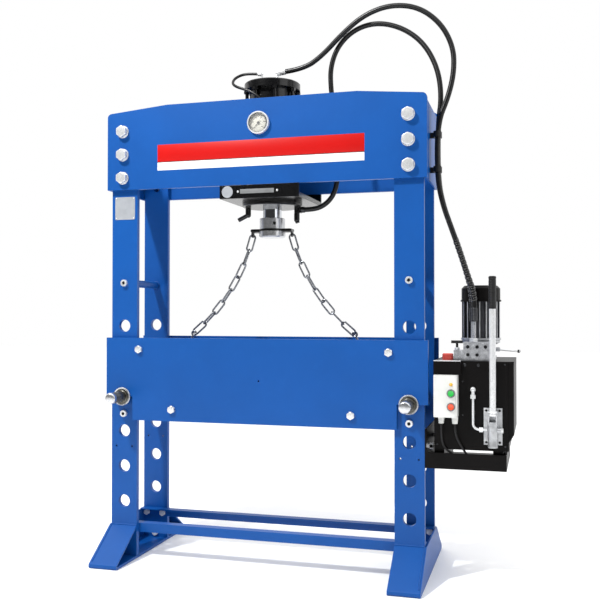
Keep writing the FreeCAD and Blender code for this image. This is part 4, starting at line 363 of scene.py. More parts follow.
def settle(name: str) -> bpy.types.Object:
    """Names the new active object and puts its place into its mesh."""
    obj = bpy.context.active_object
    obj.name = obj.data.name = name
    choose(obj)
    bpy.ops.object.transform_apply(location=True, rotation=True, scale=True)
    return obj


@contextmanager
def editing(obj: bpy.types.Object, mode: str = "FACE") -> Iterator[bmesh.types.BMesh]:
    """Edit mode on one object, with nothing selected."""
    choose(obj)
    bpy.ops.object.mode_set(mode="EDIT")
    bpy.ops.mesh.select_mode(type=mode)
    bpy.ops.mesh.select_all(action="DESELECT")
    try:
        yield bmesh.from_edit_mesh(obj.data)
    finally:
        bpy.ops.object.mode_set(mode="OBJECT")


def pick(obj: bpy.types.Object, kind: str, test: Callable) -> None:
    """Selects the faces, edges or verts of the edited object that pass a test."""
    mesh = bmesh.from_edit_mesh(obj.data)
    for element in getattr(mesh, kind):
        element.select_set(bool(test(element)))
    mesh.select_flush_mode()
    bmesh.update_edit_mesh(obj.data)


def modify(obj: bpy.types.Object, kind: str, **settings: object) -> None:
    """Adds a modifier with its settings and applies it."""
    modifier = obj.modifiers.new(kind.title(), kind)
    for key, value in settings.items():
        setattr(modifier, key, value)
    choose(obj)
    bpy.ops.object.modifier_apply(modifier=modifier.name)


def soften(obj: bpy.types.Object, width_mm: float, segments: int = 2, angle: float = 35.0) -> None:
    """Rounds the sharp edges of a piece."""
    modify(obj, "BEVEL", width=width_mm * MM, segments=segments, limit_method="ANGLE",
           angle_limit=math.radians(angle), use_clamp_overlap=True)


def finish(obj: bpy.types.Object, surface: Finish, body: Body,
           replaced: Sequence[str] = (), smooth: float = 35.0) -> bpy.types.Object:
    """Gives a piece its shading, its material, its body and the nodes that it stands for."""
    choose(obj)
    if obj.type == "MESH":
        bpy.ops.object.shade_smooth_by_angle(angle=math.radians(smooth))
    obj.data.materials.clear()
    obj.data.materials.append(surface.make())
    if replaced:
        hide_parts(*replaced)
    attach(obj, body.value)
    log.info("%s on %s, %s", obj.name, body.value, surface.name)
    return obj


def block(name: str, low: Point, high: Point, round_mm: float) -> bpy.types.Object:
    """A block between two corners in millimetres, with rounded edges."""
    clear_selection()
    a, b = at(*low), at(*high)
    bpy.ops.mesh.primitive_cube_add(size=1.0, location=(a + b) / 2, scale=b - a)
    obj = settle(name)
    if round_mm:
        soften(obj, round_mm)
    return obj


def lathe(name: str, profile: Sequence[tuple[float, float]], base: Point, axis: Point,
          steps: int = 40) -> bpy.types.Object:
    """A turned piece, spun from its profile.

    Args:
        name: the piece's name.
        profile: radius and height pairs in millimetres, from the base along the axis.
        base: the point on the axis that heights count from, in millimetres.
        axis: the direction of the axis.
        steps: how many flats go round.

    Returns:
        The new piece.
    """
    foot = at(*base)
    along = Vector(axis).normalized()
    side = along.orthogonal().normalized()
    points = [foot + side * (r * MM) + along * (h * MM) for r, h in profile]
    clear_selection()
    bpy.ops.mesh.primitive_plane_add(size=0.001, location=points[0])
    obj = settle(name)
    with editing(obj, "VERT"):
        bpy.ops.mesh.select_all(action="SELECT")
        bpy.ops.mesh.merge(type="CENTER")
        for before, here in zip(points, points[1:]):
            bpy.ops.mesh.extrude_vertices_move(TRANSFORM_OT_translate={"value": here - before})
        bpy.ops.mesh.select_all(action="SELECT")
        bpy.ops.mesh.spin(steps=steps, angle=2 * math.pi, center=foot, axis=along)
        bpy.ops.mesh.select_all(action="SELECT")
        bpy.ops.mesh.remove_doubles(threshold=0.000002)
        bpy.ops.mesh.normals_make_consistent(inside=False)
    return obj


def bar(name: str, radius: float, points: Sequence[Point], edge_mm: float = 0.0,
        curved: bool = False, ring: int = 6) -> bpy.types.Object:
    """A round bar or wire along points in millimetres, made a mesh.

    Args:
        name: the piece's name.
        radius: its radius in millimetres.
        points: the corners of its path.
        edge_mm: the rounding of its ends.
        curved: whether the path is smooth, not straight between its points.
        ring: how finely its section is rounded.

    Returns:
        The new piece.
    """
    obj = centreline(name, points, curved)
    obj.data.bevel_depth = radius * MM
    obj.data.bevel_resolution = ring
    obj.data.use_fill_caps = True
    choose(obj)
    bpy.ops.object.convert(target="MESH")
    if edge_mm:
        soften(obj, edge_mm, 2, 60)
    return obj


def centreline(name: str, points: Sequence[Point], curved: bool) -> bpy.types.Object:
    """A curve through or near points in millimetres."""
    data = bpy.data.curves.new(name, "CURVE")
    data.dimensions = "3D"
    data.resolution_u = 12
    spline = data.splines.new("NURBS" if curved else "POLY")
    spline.points.add(len(points) - 1)
    for knot, point in zip(spline.points, points):
        knot.co = (*at(*point), 1.0)
    if curved:
        spline.order_u = 3
        spline.use_endpoint_u = True
    obj = bpy.data.objects.new(name, data)
    bpy.context.scene.collection.objects.link(obj)
    return obj


def join(name: str, pieces: Sequence[bpy.types.Object]) -> bpy.types.Object:
    """Joins pieces into one object."""
    choose(*pieces)
    if len(pieces) > 1:
        bpy.ops.object.join()
    obj = bpy.context.view_layer.objects.active
    obj.name = obj.data.name = name
    return obj


def copied(source: bpy.types.Object, name: str, matrix: Matrix) -> bpy.types.Object:
    """A copy with its own mesh, moved by a matrix."""
    obj = source.copy()
    obj.data = source.data.copy()
    obj.name = obj.data.name = name
    bpy.context.scene.collection.objects.link(obj)
    obj.data.transform(matrix)
    return obj


def turn_to(axis: Vector, place: Vector) -> Matrix:
    """The matrix that takes a piece modelled along +Z at the origin to a place and a direction."""
    return Matrix.Translation(place) @ axis.to_track_quat("Z", "Y").to_matrix().to_4x4()


def eased(node: str, width_mm: float, surface: Finish, body: Body) -> bpy.types.Object:
    """A copy of a CAD node with its sharp edges broken, which stands for it."""
    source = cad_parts[node]
    obj = copied(source, node + "_eased", Matrix.Identity(4))
    obj.parent = None
    with editing(obj):
        bpy.ops.mesh.select_all(action="SELECT")
        bpy.ops.mesh.remove_doubles(threshold=0.000005)
        bpy.ops.mesh.dissolve_limited(angle_limit=math.radians(0.4))
    soften(obj, width_mm, 2, 40)
    finish(obj, surface, body, (node,))
    modify(obj, "WEIGHTED_NORMAL", keep_sharp=True, weight=100)
    return obj


def hex_piece(name: str, across: float, height: float) -> bpy.types.Object:
    """A bolt head or nut at the origin along +Z, with the corners of its crown turned off.

    Args:
        name: the piece's name.
        across: the size across its flats in millimetres.
        height: its height in millimetres.

    Returns:
        The new piece.
    """
    clear_selection()
    flats = 6
    cuts = 4 * flats
    corner = across / math.sqrt(3)
    bpy.ops.mesh.primitive_cylinder_add(vertices=flats, radius=corner * MM, depth=height * MM,
                                        location=(0, 0, height / 2 * MM))
    obj = settle(name)
    slope = math.radians(30)
    with editing(obj):
        for k in range(cuts):
            turn = 2 * math.pi * (k + 0.5) / cuts
            out = Vector((math.sin(turn), math.cos(turn), 0))
            bpy.ops.mesh.select_all(action="SELECT")
            bpy.ops.mesh.bisect(
                plane_co=out * (across * 0.475 * MM) + Vector((0, 0, height * MM)),
                plane_no=out * math.sin(slope) + Vector((0, 0, math.cos(slope))),
                use_fill=True, clear_outer=True)
    soften(obj, across * 0.01, 2, 25)
    return obj


def pan_screw(place: Point, radius: float) -> bpy.types.Object:
    """A pan-head screw with a recess, facing the front."""
    return lathe("screw", [(0, 0), (radius, 0), (radius, 0.8), (radius * 0.85, 1.7),
                           (radius * 0.5, 2.2), (radius * 0.3, 2.3), (radius * 0.25, 1.3),
                           (0, 1.2)], place, (0, -1, 0), 20)


# ---------------------------------------------------------------- camera, floor and light
@dataclass
class Studio:
    """The camera of the photograph, a pale floor and soft light."""

    eye: Point = (1151.2, -3601.4, 1092.9)
    lens_mm: float = 50.77
    yaw: float = 0.2767
    pitch: float = 0.0143
    sky_front: float = 0.05
    sky_back: float = 1.06
    sky_high: float = 1.36
    sky_shown: float = 1.0

    def camera(self) -> None:
        """Sets the camera up."""
        data = bpy.data.cameras.new("camera")
        data.lens = self.lens_mm
        data.sensor_width = 36.0
        data.clip_end = 60.0
        obj = bpy.data.objects.new("camera", data)
        obj.location = at(*self.eye)
        obj.rotation_euler = (math.pi / 2 + self.pitch, 0.0, self.yaw)
        bpy.context.scene.collection.objects.link(obj)
        bpy.context.scene.camera = obj

    def lights(self) -> None:
        """Adds two soft lamps and a white sky that lights less from the front than from above."""
        world = bpy.data.worlds.new("studio")
        bpy.context.scene.world = world
        world.use_nodes = True
        tree = world.node_tree
        way = add_node(tree, "ShaderNodeTexCoord").outputs["Generated"]
        parts = add_node(tree, "ShaderNodeSeparateXYZ", links={"Vector": way})
        low = add_node(tree, "ShaderNodeMapRange",
                       {"From Min": -0.35, "From Max": 0.3, "To Min": self.sky_front,
                        "To Max": self.sky_back}, {"Value": parts.outputs["Y"]})
        strength = add_node(tree, "ShaderNodeMapRange",
                            {"From Min": 0.35, "From Max": 0.7, "To Max": self.sky_high},
                            {"Value": parts.outputs["Z"], "To Min": low.outputs["Result"]})
        eye = add_node(tree, "ShaderNodeLightPath").outputs["Is Camera Ray"]
        shown = add_node(tree, "ShaderNodeMapRange", {"To Max": self.sky_shown},
                         {"Value": eye, "To Min": strength.outputs["Result"]})
        sky = tree.nodes["Background"]
        sky.inputs["Color"].default_value = (1.0, 1.0, 1.0, 1.0)
        tree.links.new(shown.outputs["Result"], sky.inputs["Strength"])
        for name, place, watts, size in (
                ("lamp_key", (-1650, -2700, 4700), 200.0, 0.22),
                ("lamp_right", (3200, -1500, 2600), 20.0, 2.0)):
            data = bpy.data.lights.new(name, "AREA")
            data.energy = watts
            data.size = size
            lamp = bpy.data.objects.new(name, data)
            lamp.location = at(*place)
            aim = at(0, 0, 1100) - lamp.location
            lamp.rotation_euler = aim.to_track_quat("-Z", "Y").to_euler()
            bpy.context.scene.collection.objects.link(lamp)

    def floor(self) -> None:
        """Lays the floor."""
        clear_selection()
        bpy.ops.mesh.primitive_plane_add(size=40.0, location=(0, 0, -0.0005))
        obj = settle("floor")
        obj.data.materials.append(STUDIO_FLOOR.make())


# ---------------------------------------------------------------- hoses
@dataclass
class Hose:
    """A hose or cable: its route, its size and its rubber."""

    node: str
    diameter: float
    length: float
    route: Sequence[Point]
    surface: Finish = HOSE_RUBBER
    stiffness: str = "stiff"
    piece: bpy.types.Object | None = field(default=None, init=False)

    def build(self) -> None:
        """Lays the hose on its smooth line."""
        obj = centreline(self.node + "_line", self.route, True)
        obj.data.resolution_u = 16
        obj.data.bevel_depth = self.diameter / 2 * MM
        obj.data.bevel_resolution = 6
        obj.data.use_fill_caps = True
        self.piece = obj

    def dress(self, extras: Sequence[bpy.types.Object] = ()) -> None:
        finish(self.piece, self.surface, Body.FRAME, (self.node,))

    def line(self) -> list[Vector]:
        """The points of the hose's smooth line, in metres."""
        depth = self.piece.data.bevel_depth
        self.piece.data.bevel_depth = 0.0
        self.piece.data.use_fill_caps = False
        bare = bpy.data.meshes.new_from_object(self.piece)
        points = [v.co.copy() for v in bare.vertices]
        bpy.data.meshes.remove(bare)
        self.piece.data.bevel_depth = depth
        self.piece.data.use_fill_caps = True
        return points


@dataclass
class SpiralGuard:
    """The plastic spiral wound round the lower stretch of a hose."""

    hose: Hose
    top: float = 1402.0
    foot: float = 1114.0
    pitch: float = 19.0
    band: float = 13.5
    wall: float = 1.5
    per_turn: int = 16

    def build(self) -> bpy.types.Object:
        """Winds the band straight, and bends it along the hose's line.

        Returns:
            The guard.
        """
        line = [p for p in self.hose.line() if self.foot * MM < p.z < self.top * MM]
        length = sum((b - a).length for a, b in zip(line, line[1:]))
        path = centreline("guard_path", [tuple(p / MM + Vector((MIDDLE, 0, 0))) for p in line],
                          False)
        inner = (self.hose.diameter / 2 + 0.15) * MM
        clear_selection()
        bpy.ops.mesh.primitive_plane_add(size=1.0)
        obj = settle(self.hose.node + "_guard")
        with editing(obj, "VERT"):
            bpy.ops.mesh.select_all(action="SELECT")
            bpy.ops.transform.resize(value=(self.wall * MM, self.band * MM, 1.0))
            bpy.ops.transform.rotate(value=math.pi / 2, orient_axis="X", center_override=(0, 0, 0))
            bpy.ops.transform.translate(
                value=(inner + self.wall / 2 * MM, 0, self.band / 2 * MM))
            pick(obj, "verts", lambda v: v.co.x > inner + self.wall / 2 * MM)
            bpy.ops.transform.resize(value=(1.0, 1.0, 0.8))
            bpy.ops.mesh.select_all(action="SELECT")
            bpy.ops.mesh.delete(type="ONLY_FACE")
        turns = int((length / MM - self.band) / self.pitch)
        modify(obj, "SCREW", axis="Z", angle=2 * math.pi, screw_offset=self.pitch * MM,
               iterations=turns, steps=self.per_turn, render_steps=self.per_turn,
               use_smooth_shade=False)
        with editing(obj, "EDGE"):
            bpy.ops.mesh.select_non_manifold()
            bpy.ops.mesh.edge_face_add()
            bpy.ops.mesh.select_all(action="SELECT")
            bpy.ops.mesh.normals_make_consistent(inside=False)
        modify(obj, "CURVE", object=path, deform_axis="POS_Z")
        bpy.data.objects.remove(path)
        return finish(obj, GUARD_PE, Body.FRAME, smooth=50)


class Hoses:
    """The two big hoses, the gauge line and the two cables."""

    clip_x: float = 747.0
    supply: Hose = Hose("supply_hose", 22.0, 2.0195, [
        (62, 0, 2166), (150, -2, 2172), (236, -12, 2222), (330, -28, 2306), (430, -44, 2372),
        (545, -58, 2398), (665, -72, 2372), (760, -86, 2290), (812, -97, 2182),
        (815, -105, 2078), (792, -110, 1976), (747, -113, 1868), (747, -113, 1640),
        (769, -110, 1532), (802, -105, 1438), (836, -98, 1340), (866, -92, 1244),
        (893, -90, 1166), (893, -90, 1110)])
    back: Hose = Hose("return_hose", 22.0, 2.4070, [
        (150, 0, 1546), (197, 0, 1546), (241, -1, 1563), (275, -3, 1595), (295, -6, 1638),
        (304, -9, 1705), (308, -11, 1785), (301, -12, 1875), (287, -10, 1970), (271, -6, 2070),
        (268, -2, 2170), (303, -2, 2262), (380, -8, 2326), (482, -18, 2342), (592, -32, 2304),
        (684, -50, 2226), (744, -70, 2110), (762, -84, 1985), (747, -88, 1868),
        (747, -88, 1640), (768, -85, 1532), (801, -78, 1438), (835, -70, 1340),
        (863, -64, 1244), (883, -62, 1166), (883, -62, 1110)])
    gauge: Hose = Hose("gauge_hose", 12.0, 0.4233, [
        (-45, -70, 2144), (-85, -69, 2149), (-123, -70, 2146), (-150, -87, 2126),
        (-150, -111, 2098), (-124, -128, 2078), (-85, -137, 2063), (-48, -144, 2047),
        (-16, -148, 2023), (2, -142, 1993), (3, -130, 1963), (0, -118, 1939),
        (0, -118, 1917)], stiffness="medium")
    starter: Hose = Hose("starter_cable", 9.0, 0.1977, [
        (768, -182, 648), (768, -182, 620), (768, -175, 592), (771, -166, 565),
        (782, -159, 543), (802, -155, 529), (820, -151, 512), (827, -150, 492),
        (827, -150, 475)], NYLON, "medium")
    motor: Hose = Hose("motor_cable", 9.0, 0.1897, [
        (822, -182, 648), (822, -182, 622), (828, -177, 594), (840, -170, 566),
        (856, -163, 540), (871, -156, 516), (880, -150, 494), (880, -150, 475)], NYLON, "medium")

    def build(self) -> None:
        """Lays every hose and cable."""
        for hose in (self.supply, self.back, self.gauge, self.starter, self.motor):
            hose.build()

    def dress(self) -> None:
        for hose in (self.supply, self.back):
            hose.dress([SpiralGuard(hose).build()])
        for hose in (self.gauge, self.starter, self.motor):
            hose.dress()

    def fittings(self) -> None:
        """Makes the crimped sleeves, the unions and the nuts on them."""
        pieces, sleeves = [], []
        ribs = [(0.0, 0), (12.2, 0), (13.2, 2)]
        for k in range(7):
            height = 6 + 6.2 * k
            ribs += [(13.3, height), (12.5, height + 1.2), (12.5, height + 2.2),
                     (13.3, height + 3.4)]
        ribs += [(13.3, 52), (11.5, 56), (0.0, 56)]
        for foot in (self.supply.route[-1], self.back.route[-1]):
            sleeves.append(lathe("sleeve", ribs, foot, (0, 0, -1)))
        pieces.append(lathe("sleeve", [(0, 0), (7.4, 0), (7.9, 1.5), (7.9, 10), (7, 12), (0, 12)],
                            self.gauge.route[-1], (0, 0, -1), 24))
        pieces.append(self.union(self.supply, 13.5, 40.0, 27.0))
        pieces.append(self.union(self.gauge, 8.0, 20.0, 17.0))
        port = self.back.route[0]
        sleeves.append(lathe("port", [(0, 0), (13.2, 0), (13.4, 2), (13.4, 12), (12, 16), (0, 16)],
                            port, (-1, 0, 0)))
        finish(join("hose_fittings_turned", pieces), ZINC, Body.FRAME, ("hose_fittings",))
        finish(join("hose_sleeves", sleeves), SLEEVE_STEEL, Body.FRAME)

    def union(self, hose: Hose, radius: float, reach: float, across: float) -> bpy.types.Object:
        """An elbow union that comes up out of the cap and turns to a hose.

        Args:
            hose: the hose that starts on it.
            radius: the radius of its sleeve.
            reach: the length of its sleeve.
            across: the size of its nuts across the flats.

        Returns:
            The union.
        """
        end = Vector(hose.route[0])
        run = (end - Vector(hose.route[1])).normalized()
        knee = end + run * reach
        away = Vector(-run)
        sleeve = lathe("sleeve", [(0, 0), (radius * 0.62, 0), (radius * 0.62, reach * 0.3),
                                  (radius, reach * 0.34), (radius, reach * 0.94),
                                  (radius * 0.9, reach), (0, reach)], tuple(knee), tuple(away))
        riser = bar("riser", radius * 0.46, [(knee.x, knee.y, 2112), tuple(knee),
                                             tuple(knee + away * 2)], ring=5)
        bend = lathe("bend", [(0, -radius * 0.66), (radius * 0.45, -radius * 0.5),
                              (radius * 0.66, 0), (radius * 0.45, radius * 0.5),
                              (0, radius * 0.66)], tuple(knee), (0, 0, 1), 24)
        soften(bend, radius * 0.2, 3)
        nut = hex_piece("nut", across, radius * 0.9)
        nut.data.transform(Matrix.Translation(at(knee.x, knee.y, 2112)))
        collar = hex_piece("nut", across, radius * 0.8)
        collar.data.transform(turn_to(away, at(*(knee + away * reach * 0.12))))
        return join("union", [sleeve, riser, bend, nut, collar])


# ---------------------------------------------------------------- frame
@dataclass
class PressFrame:
    """Uprights, head, feet, stretchers and their hardware."""

    upright_x: float = 638.5
    head_bolt_heights: Sequence[float] = (1690.0, 1793.5, 1897.0)
    stripe_left: float = -470.0
    stripe_right: float = 458.0

    def build(self) -> None:
        """Eases the plates, and makes the bolts, the welds and the bare plates."""
        for node in ("upright_front_left", "upright_front_right", "upright_rear_left",
                     "upright_rear_right", "head_plate_front", "head_plate_rear"):
            eased(node, 1.2, BLUE_COAT, Body.FRAME)
        for node in ("foot_left", "foot_right", "stretcher_front", "stretcher_rear"):
            eased(node, 0.9, BLUE_COAT, Body.FRAME)
        self.head_ends()
        self.bolts()
        self.stripe()
        self.rating_plate()
        self.welds()

    def head_ends(self) -> None:
        """Closes the two ends of the head with plates between its front and rear plates."""
        for side, name in ((-1, "left"), (1, "right")):
            near, far = sorted((side * 703.0, side * 715.0))
            plate = block("head_end_" + name, (near, FRONT_OF_UPRIGHT, 1637.5),
                          (far, -FRONT_OF_UPRIGHT, 1954.0), 1.0)
            finish(plate, BLUE_COAT, Body.FRAME)

    def bolts(self) -> None:
        """Makes every bolt of the frame."""
        head = hex_piece("head", 46.0, 19.0)
        washer = lathe("washer", [(0, 0), (27.2, 0), (28, 0.8), (28, 4.2), (27.2, 5), (0, 5)],
                       (MIDDLE, 0, 0), (0, 0, 1))
        small = hex_piece("head", 26.0, 12.0)
        stud_nut = hex_piece("nut", 24.0, 14.0)
        cap = lathe("cap", [(0, 0), (15, 0), (15, 12.6), (13.8, 14), (7.2, 14), (7.2, 6), (0, 6)],
                    (MIDDLE, 0, 0), (0, 0, 1))
        tie_nut = hex_piece("nut", 30.0, 14.0)
        stub = lathe("stub", [(0, 0), (10, 0), (10, 17), (9, 18), (0, 18)],
                     (MIDDLE, 0, 0), (0, 0, 1), 24)
        # A dark plug deep in each cap screw's socket: painted shade of the recess.
        plug = lathe("plug", [(0, 0), (7.15, 0), (7.15, 10), (0, 10)], (MIDDLE, 0, 0), (0, 0, 1), 24)
        large, middle, low, sockets = [], [], [], []
        for side in (-1, 1):
            x = side * self.upright_x
            for face in (-1, 1):
                out = Vector((0, face, 0))
                for z in self.head_bolt_heights:
                    large.append(copied(washer, "w", turn_to(out, at(x, face * 192, z))))
                    large.append(copied(head, "h", turn_to(out, at(x, face * 197, z))))
                for spread in (-41, 41):
                    low.append(copied(small, "s", turn_to(-out, at(x + spread, face * 144, 130))))
                low.append(copied(small, "s", turn_to(-out, at(x, face * 150, 32))))
                low.append(copied(stud_nut, "s", turn_to(
                    Vector((1, 0, 0)), at(720, face * 161, 553))))
                low.append(bar("stud", 9.0, [(706, face * 161, 553), (722, face * 161, 553)]))
            for z in (641, 1223):
                middle.append(copied(cap, "c", turn_to(Vector((0, -1, 0)), at(x, -172, z))))
                sockets.append(copied(plug, "p", turn_to(Vector((0, -1, 0)), at(x, -172, z))))
                middle.append(copied(tie_nut, "n", turn_to(Vector((0, 1, 0)), at(x, 172, z))))
                middle.append(copied(stub, "s", turn_to(Vector((0, 1, 0)), at(x, 172, z))))
        for source in (head, washer, small, stud_nut, cap, tie_nut, stub, plug):
            bpy.data.objects.remove(source)
        finish(join("head_bolts", large), ZINC, Body.FRAME, ("frame_bolts",), 30)
        finish(join("tie_bolts", middle), ZINC, Body.FRAME, smooth=30)
        finish(join("tie_bolt_socket_painted_shade", sockets), BLACK_STEEL_AND_SHADE, Body.FRAME, smooth=30)
        finish(join("foot_bolts", low), ZINC_FLAKE, Body.FRAME, smooth=30)

    def stripe(self) -> None:
        """Lays the bare film stripe across the front of the head."""
        for name, low, high, surface in (("stripe_red", 1754.5, 1830, RED_FILM),
                                         ("stripe_edge", 1751.5, 1754.5, BLACK_FILM),
                                         ("stripe_white", 1717, 1751.5, WHITE_FILM)):
            film = block(name, (self.stripe_left, FRONT_OF_HEAD - 0.4, low),
                         (self.stripe_right, FRONT_OF_HEAD, high), 0.15)
            finish(film, surface, Body.FRAME)

    def rating_plate(self) -> None:
        """Rivets a bare plate to the left front upright."""
        plate = block("bare_plate", (-686, FRONT_OF_UPRIGHT - 1.0, 1507),
                      (-589, FRONT_OF_UPRIGHT, 1608), 0.0)
        with editing(plate, "EDGE"):
            pick(plate, "edges", lambda e: (e.verts[0].co - e.verts[1].co).xz.length < 0.5 * MM)
            bpy.ops.mesh.bevel(offset=5.0 * MM, segments=5, affect="EDGES")
        with editing(plate):
            pick(plate, "faces", lambda f: f.normal.y < -0.9)
            bpy.ops.mesh.inset(thickness=3.2 * MM, depth=0.0)
            bpy.ops.mesh.inset(thickness=0.5 * MM, depth=-0.6 * MM)
        finish(plate, PLATE_ALLOY, Body.FRAME)
        rivets = []
        for x in (-680, -595):
            for z in (1513, 1602):
                rivets.append(lathe("rivet", [(0, 0), (2.6, 0), (2.3, 1.1), (1.3, 1.7), (0, 1.9)],
                                    (x, FRONT_OF_UPRIGHT - 1.0, z), (0, -1, 0), 16))
        finish(join("plate_rivets", rivets), ZINC, Body.FRAME)

    def welds(self) -> None:
        """Runs weld beads where the feet and the spacers meet the uprights."""
        beads = []
        for side in (-1, 1):
            outer, inner = side * 699.0, side * 577.0
            for face in (-1, 1):
                beads.append(self.bead([(inner, face * 172, 147), (outer, face * 172, 147)]))
                beads.append(self.bead([(outer, face * 346, 27.5), (outer, face * 176, 143.5)]))
            for z in (641, 1223):
                for face in (-1, 1):
                    ring = [(side * self.upright_x + 17.5 * math.cos(k * math.pi / 8),
                             face * 149, z + 17.5 * math.sin(k * math.pi / 8))
                            for k in range(17)]
                    beads.append(self.bead(ring))
        finish(join("weld_beads", beads), BLUE_COAT, Body.FRAME, smooth=60)

    def bead(self, points: Sequence[Point], radius: float = 3.4) -> bpy.types.Object:
        """A rippled weld bead along points in millimetres."""
        spots = []
        for a, b in zip(points, points[1:]):
            a, b = Vector(a), Vector(b)
            count = max(1, round((b - a).length / 2.0))
            spots += [a.lerp(b, k / count) for k in range(count)]
        spots.append(Vector(points[-1]))
        obj = centreline("bead", [tuple(p) for p in spots], False)
        for k, knot in enumerate(obj.data.splines[0].points):
            knot.radius = 1.0 + 0.16 * math.sin(k * 1.9) + 0.06 * math.sin(k * 0.37)
        obj.data.bevel_depth = radius * MM
        obj.data.bevel_resolution = 2
        obj.data.use_fill_caps = True
        choose(obj)
        bpy.ops.object.convert(target="MESH")
        return obj


# ---------------------------------------------------------------- bed
@dataclass
class Bed:
    """The bed plates, their ties and the two support pins."""

    ties: Sequence[tuple[float, float]] = ((557.0, 928.0), (400.0, 667.0))
    pin_z: float = 718.8
    upright_x: float = 638.5

    def build(self) -> None:
        """Eases the plates, and makes the bolts and the pins."""
        for node in ("bed_plate_front", "bed_plate_rear"):
            eased(node, 1.2, BLUE_COAT, Body.BED)
        head = hex_piece("head", 30.0, 13.0)
        nut = hex_piece("nut", 30.0, 13.0)
        stub = lathe("stub", [(0, 0), (10, 0), (10, 16), (9, 17), (0, 17)],
                     (MIDDLE, 0, 0), (0, 0, 1), 24)
        pieces = []
        for side in (-1, 1):
            for x, z in self.ties:
                pieces.append(copied(head, "h", turn_to(Vector((0, -1, 0)), at(side * x, -192, z))))
                pieces.append(copied(nut, "n", turn_to(Vector((0, 1, 0)), at(side * x, 192, z))))
                pieces.append(copied(stub, "s", turn_to(Vector((0, 1, 0)), at(side * x, 192, z))))
        for source in (head, nut, stub):
            bpy.data.objects.remove(source)
        finish(join("bed_bolt_heads", pieces), ZINC, Body.BED, ("bed_bolts",), 30)
        for side, name, body in ((-1, "left", Body.PIN_LEFT), (1, "right", Body.PIN_RIGHT)):
            self.pin(side, name, body)

    def pin(self, side: int, name: str, body: Body) -> None:
        """Turns a support pin with a grooved grip."""
        profile = [(0, 0), (18, 0), (20.5, 1.2), (23.2, 4), (24, 6), (24, 20)]
        for k in range(5):
            height = 22 + 9 * k
            profile += [(24, height), (22.8, height + 1.4), (22.8, height + 3.2),
                        (24, height + 4.6)]
        profile += [(24, 106.5), (26, 108), (38.8, 108), (40, 109.2), (40, 114.8), (38.8, 116),
                    (26, 116), (26, 520), (22, 524.3), (0, 524.3)]
        pin = lathe("support_pin_" + name + "_turned", profile,
                    (side * self.upright_x, -308.3, self.pin_z), (0, 1, 0), 48)
        finish(pin, PIN_STEEL, body, ("support_pin_" + name,), 30)
        # Bright steel on the collar's rim and on the knob: the rim is a painted highlight against the
        # darker body.
        edge = lathe("rim", [(33.5, 107.6), (34.2, 107.2), (38.8, 107.2), (40.4, 109.0),
                             (40.4, 115.0), (38.8, 116.0), (33.5, 116.0), (33.5, 107.6)],
                     (side * self.upright_x, -308.3, self.pin_z), (0, 1, 0), 48)
        knob = lathe("knob", [(0, -0.4), (18, -0.4), (20.8, 0.9), (23.6, 3.8), (24.4, 5.9),
                              (24.4, 19.0), (23.2, 20.6), (22.0, 20.6), (0, 20.6)],
                     (side * self.upright_x, -308.3, self.pin_z), (0, 1, 0), 48)
        finish(join("support_pin_" + name + "_rim_highlight_and_knob", [edge, knob]), TURNED, body, smooth=30)


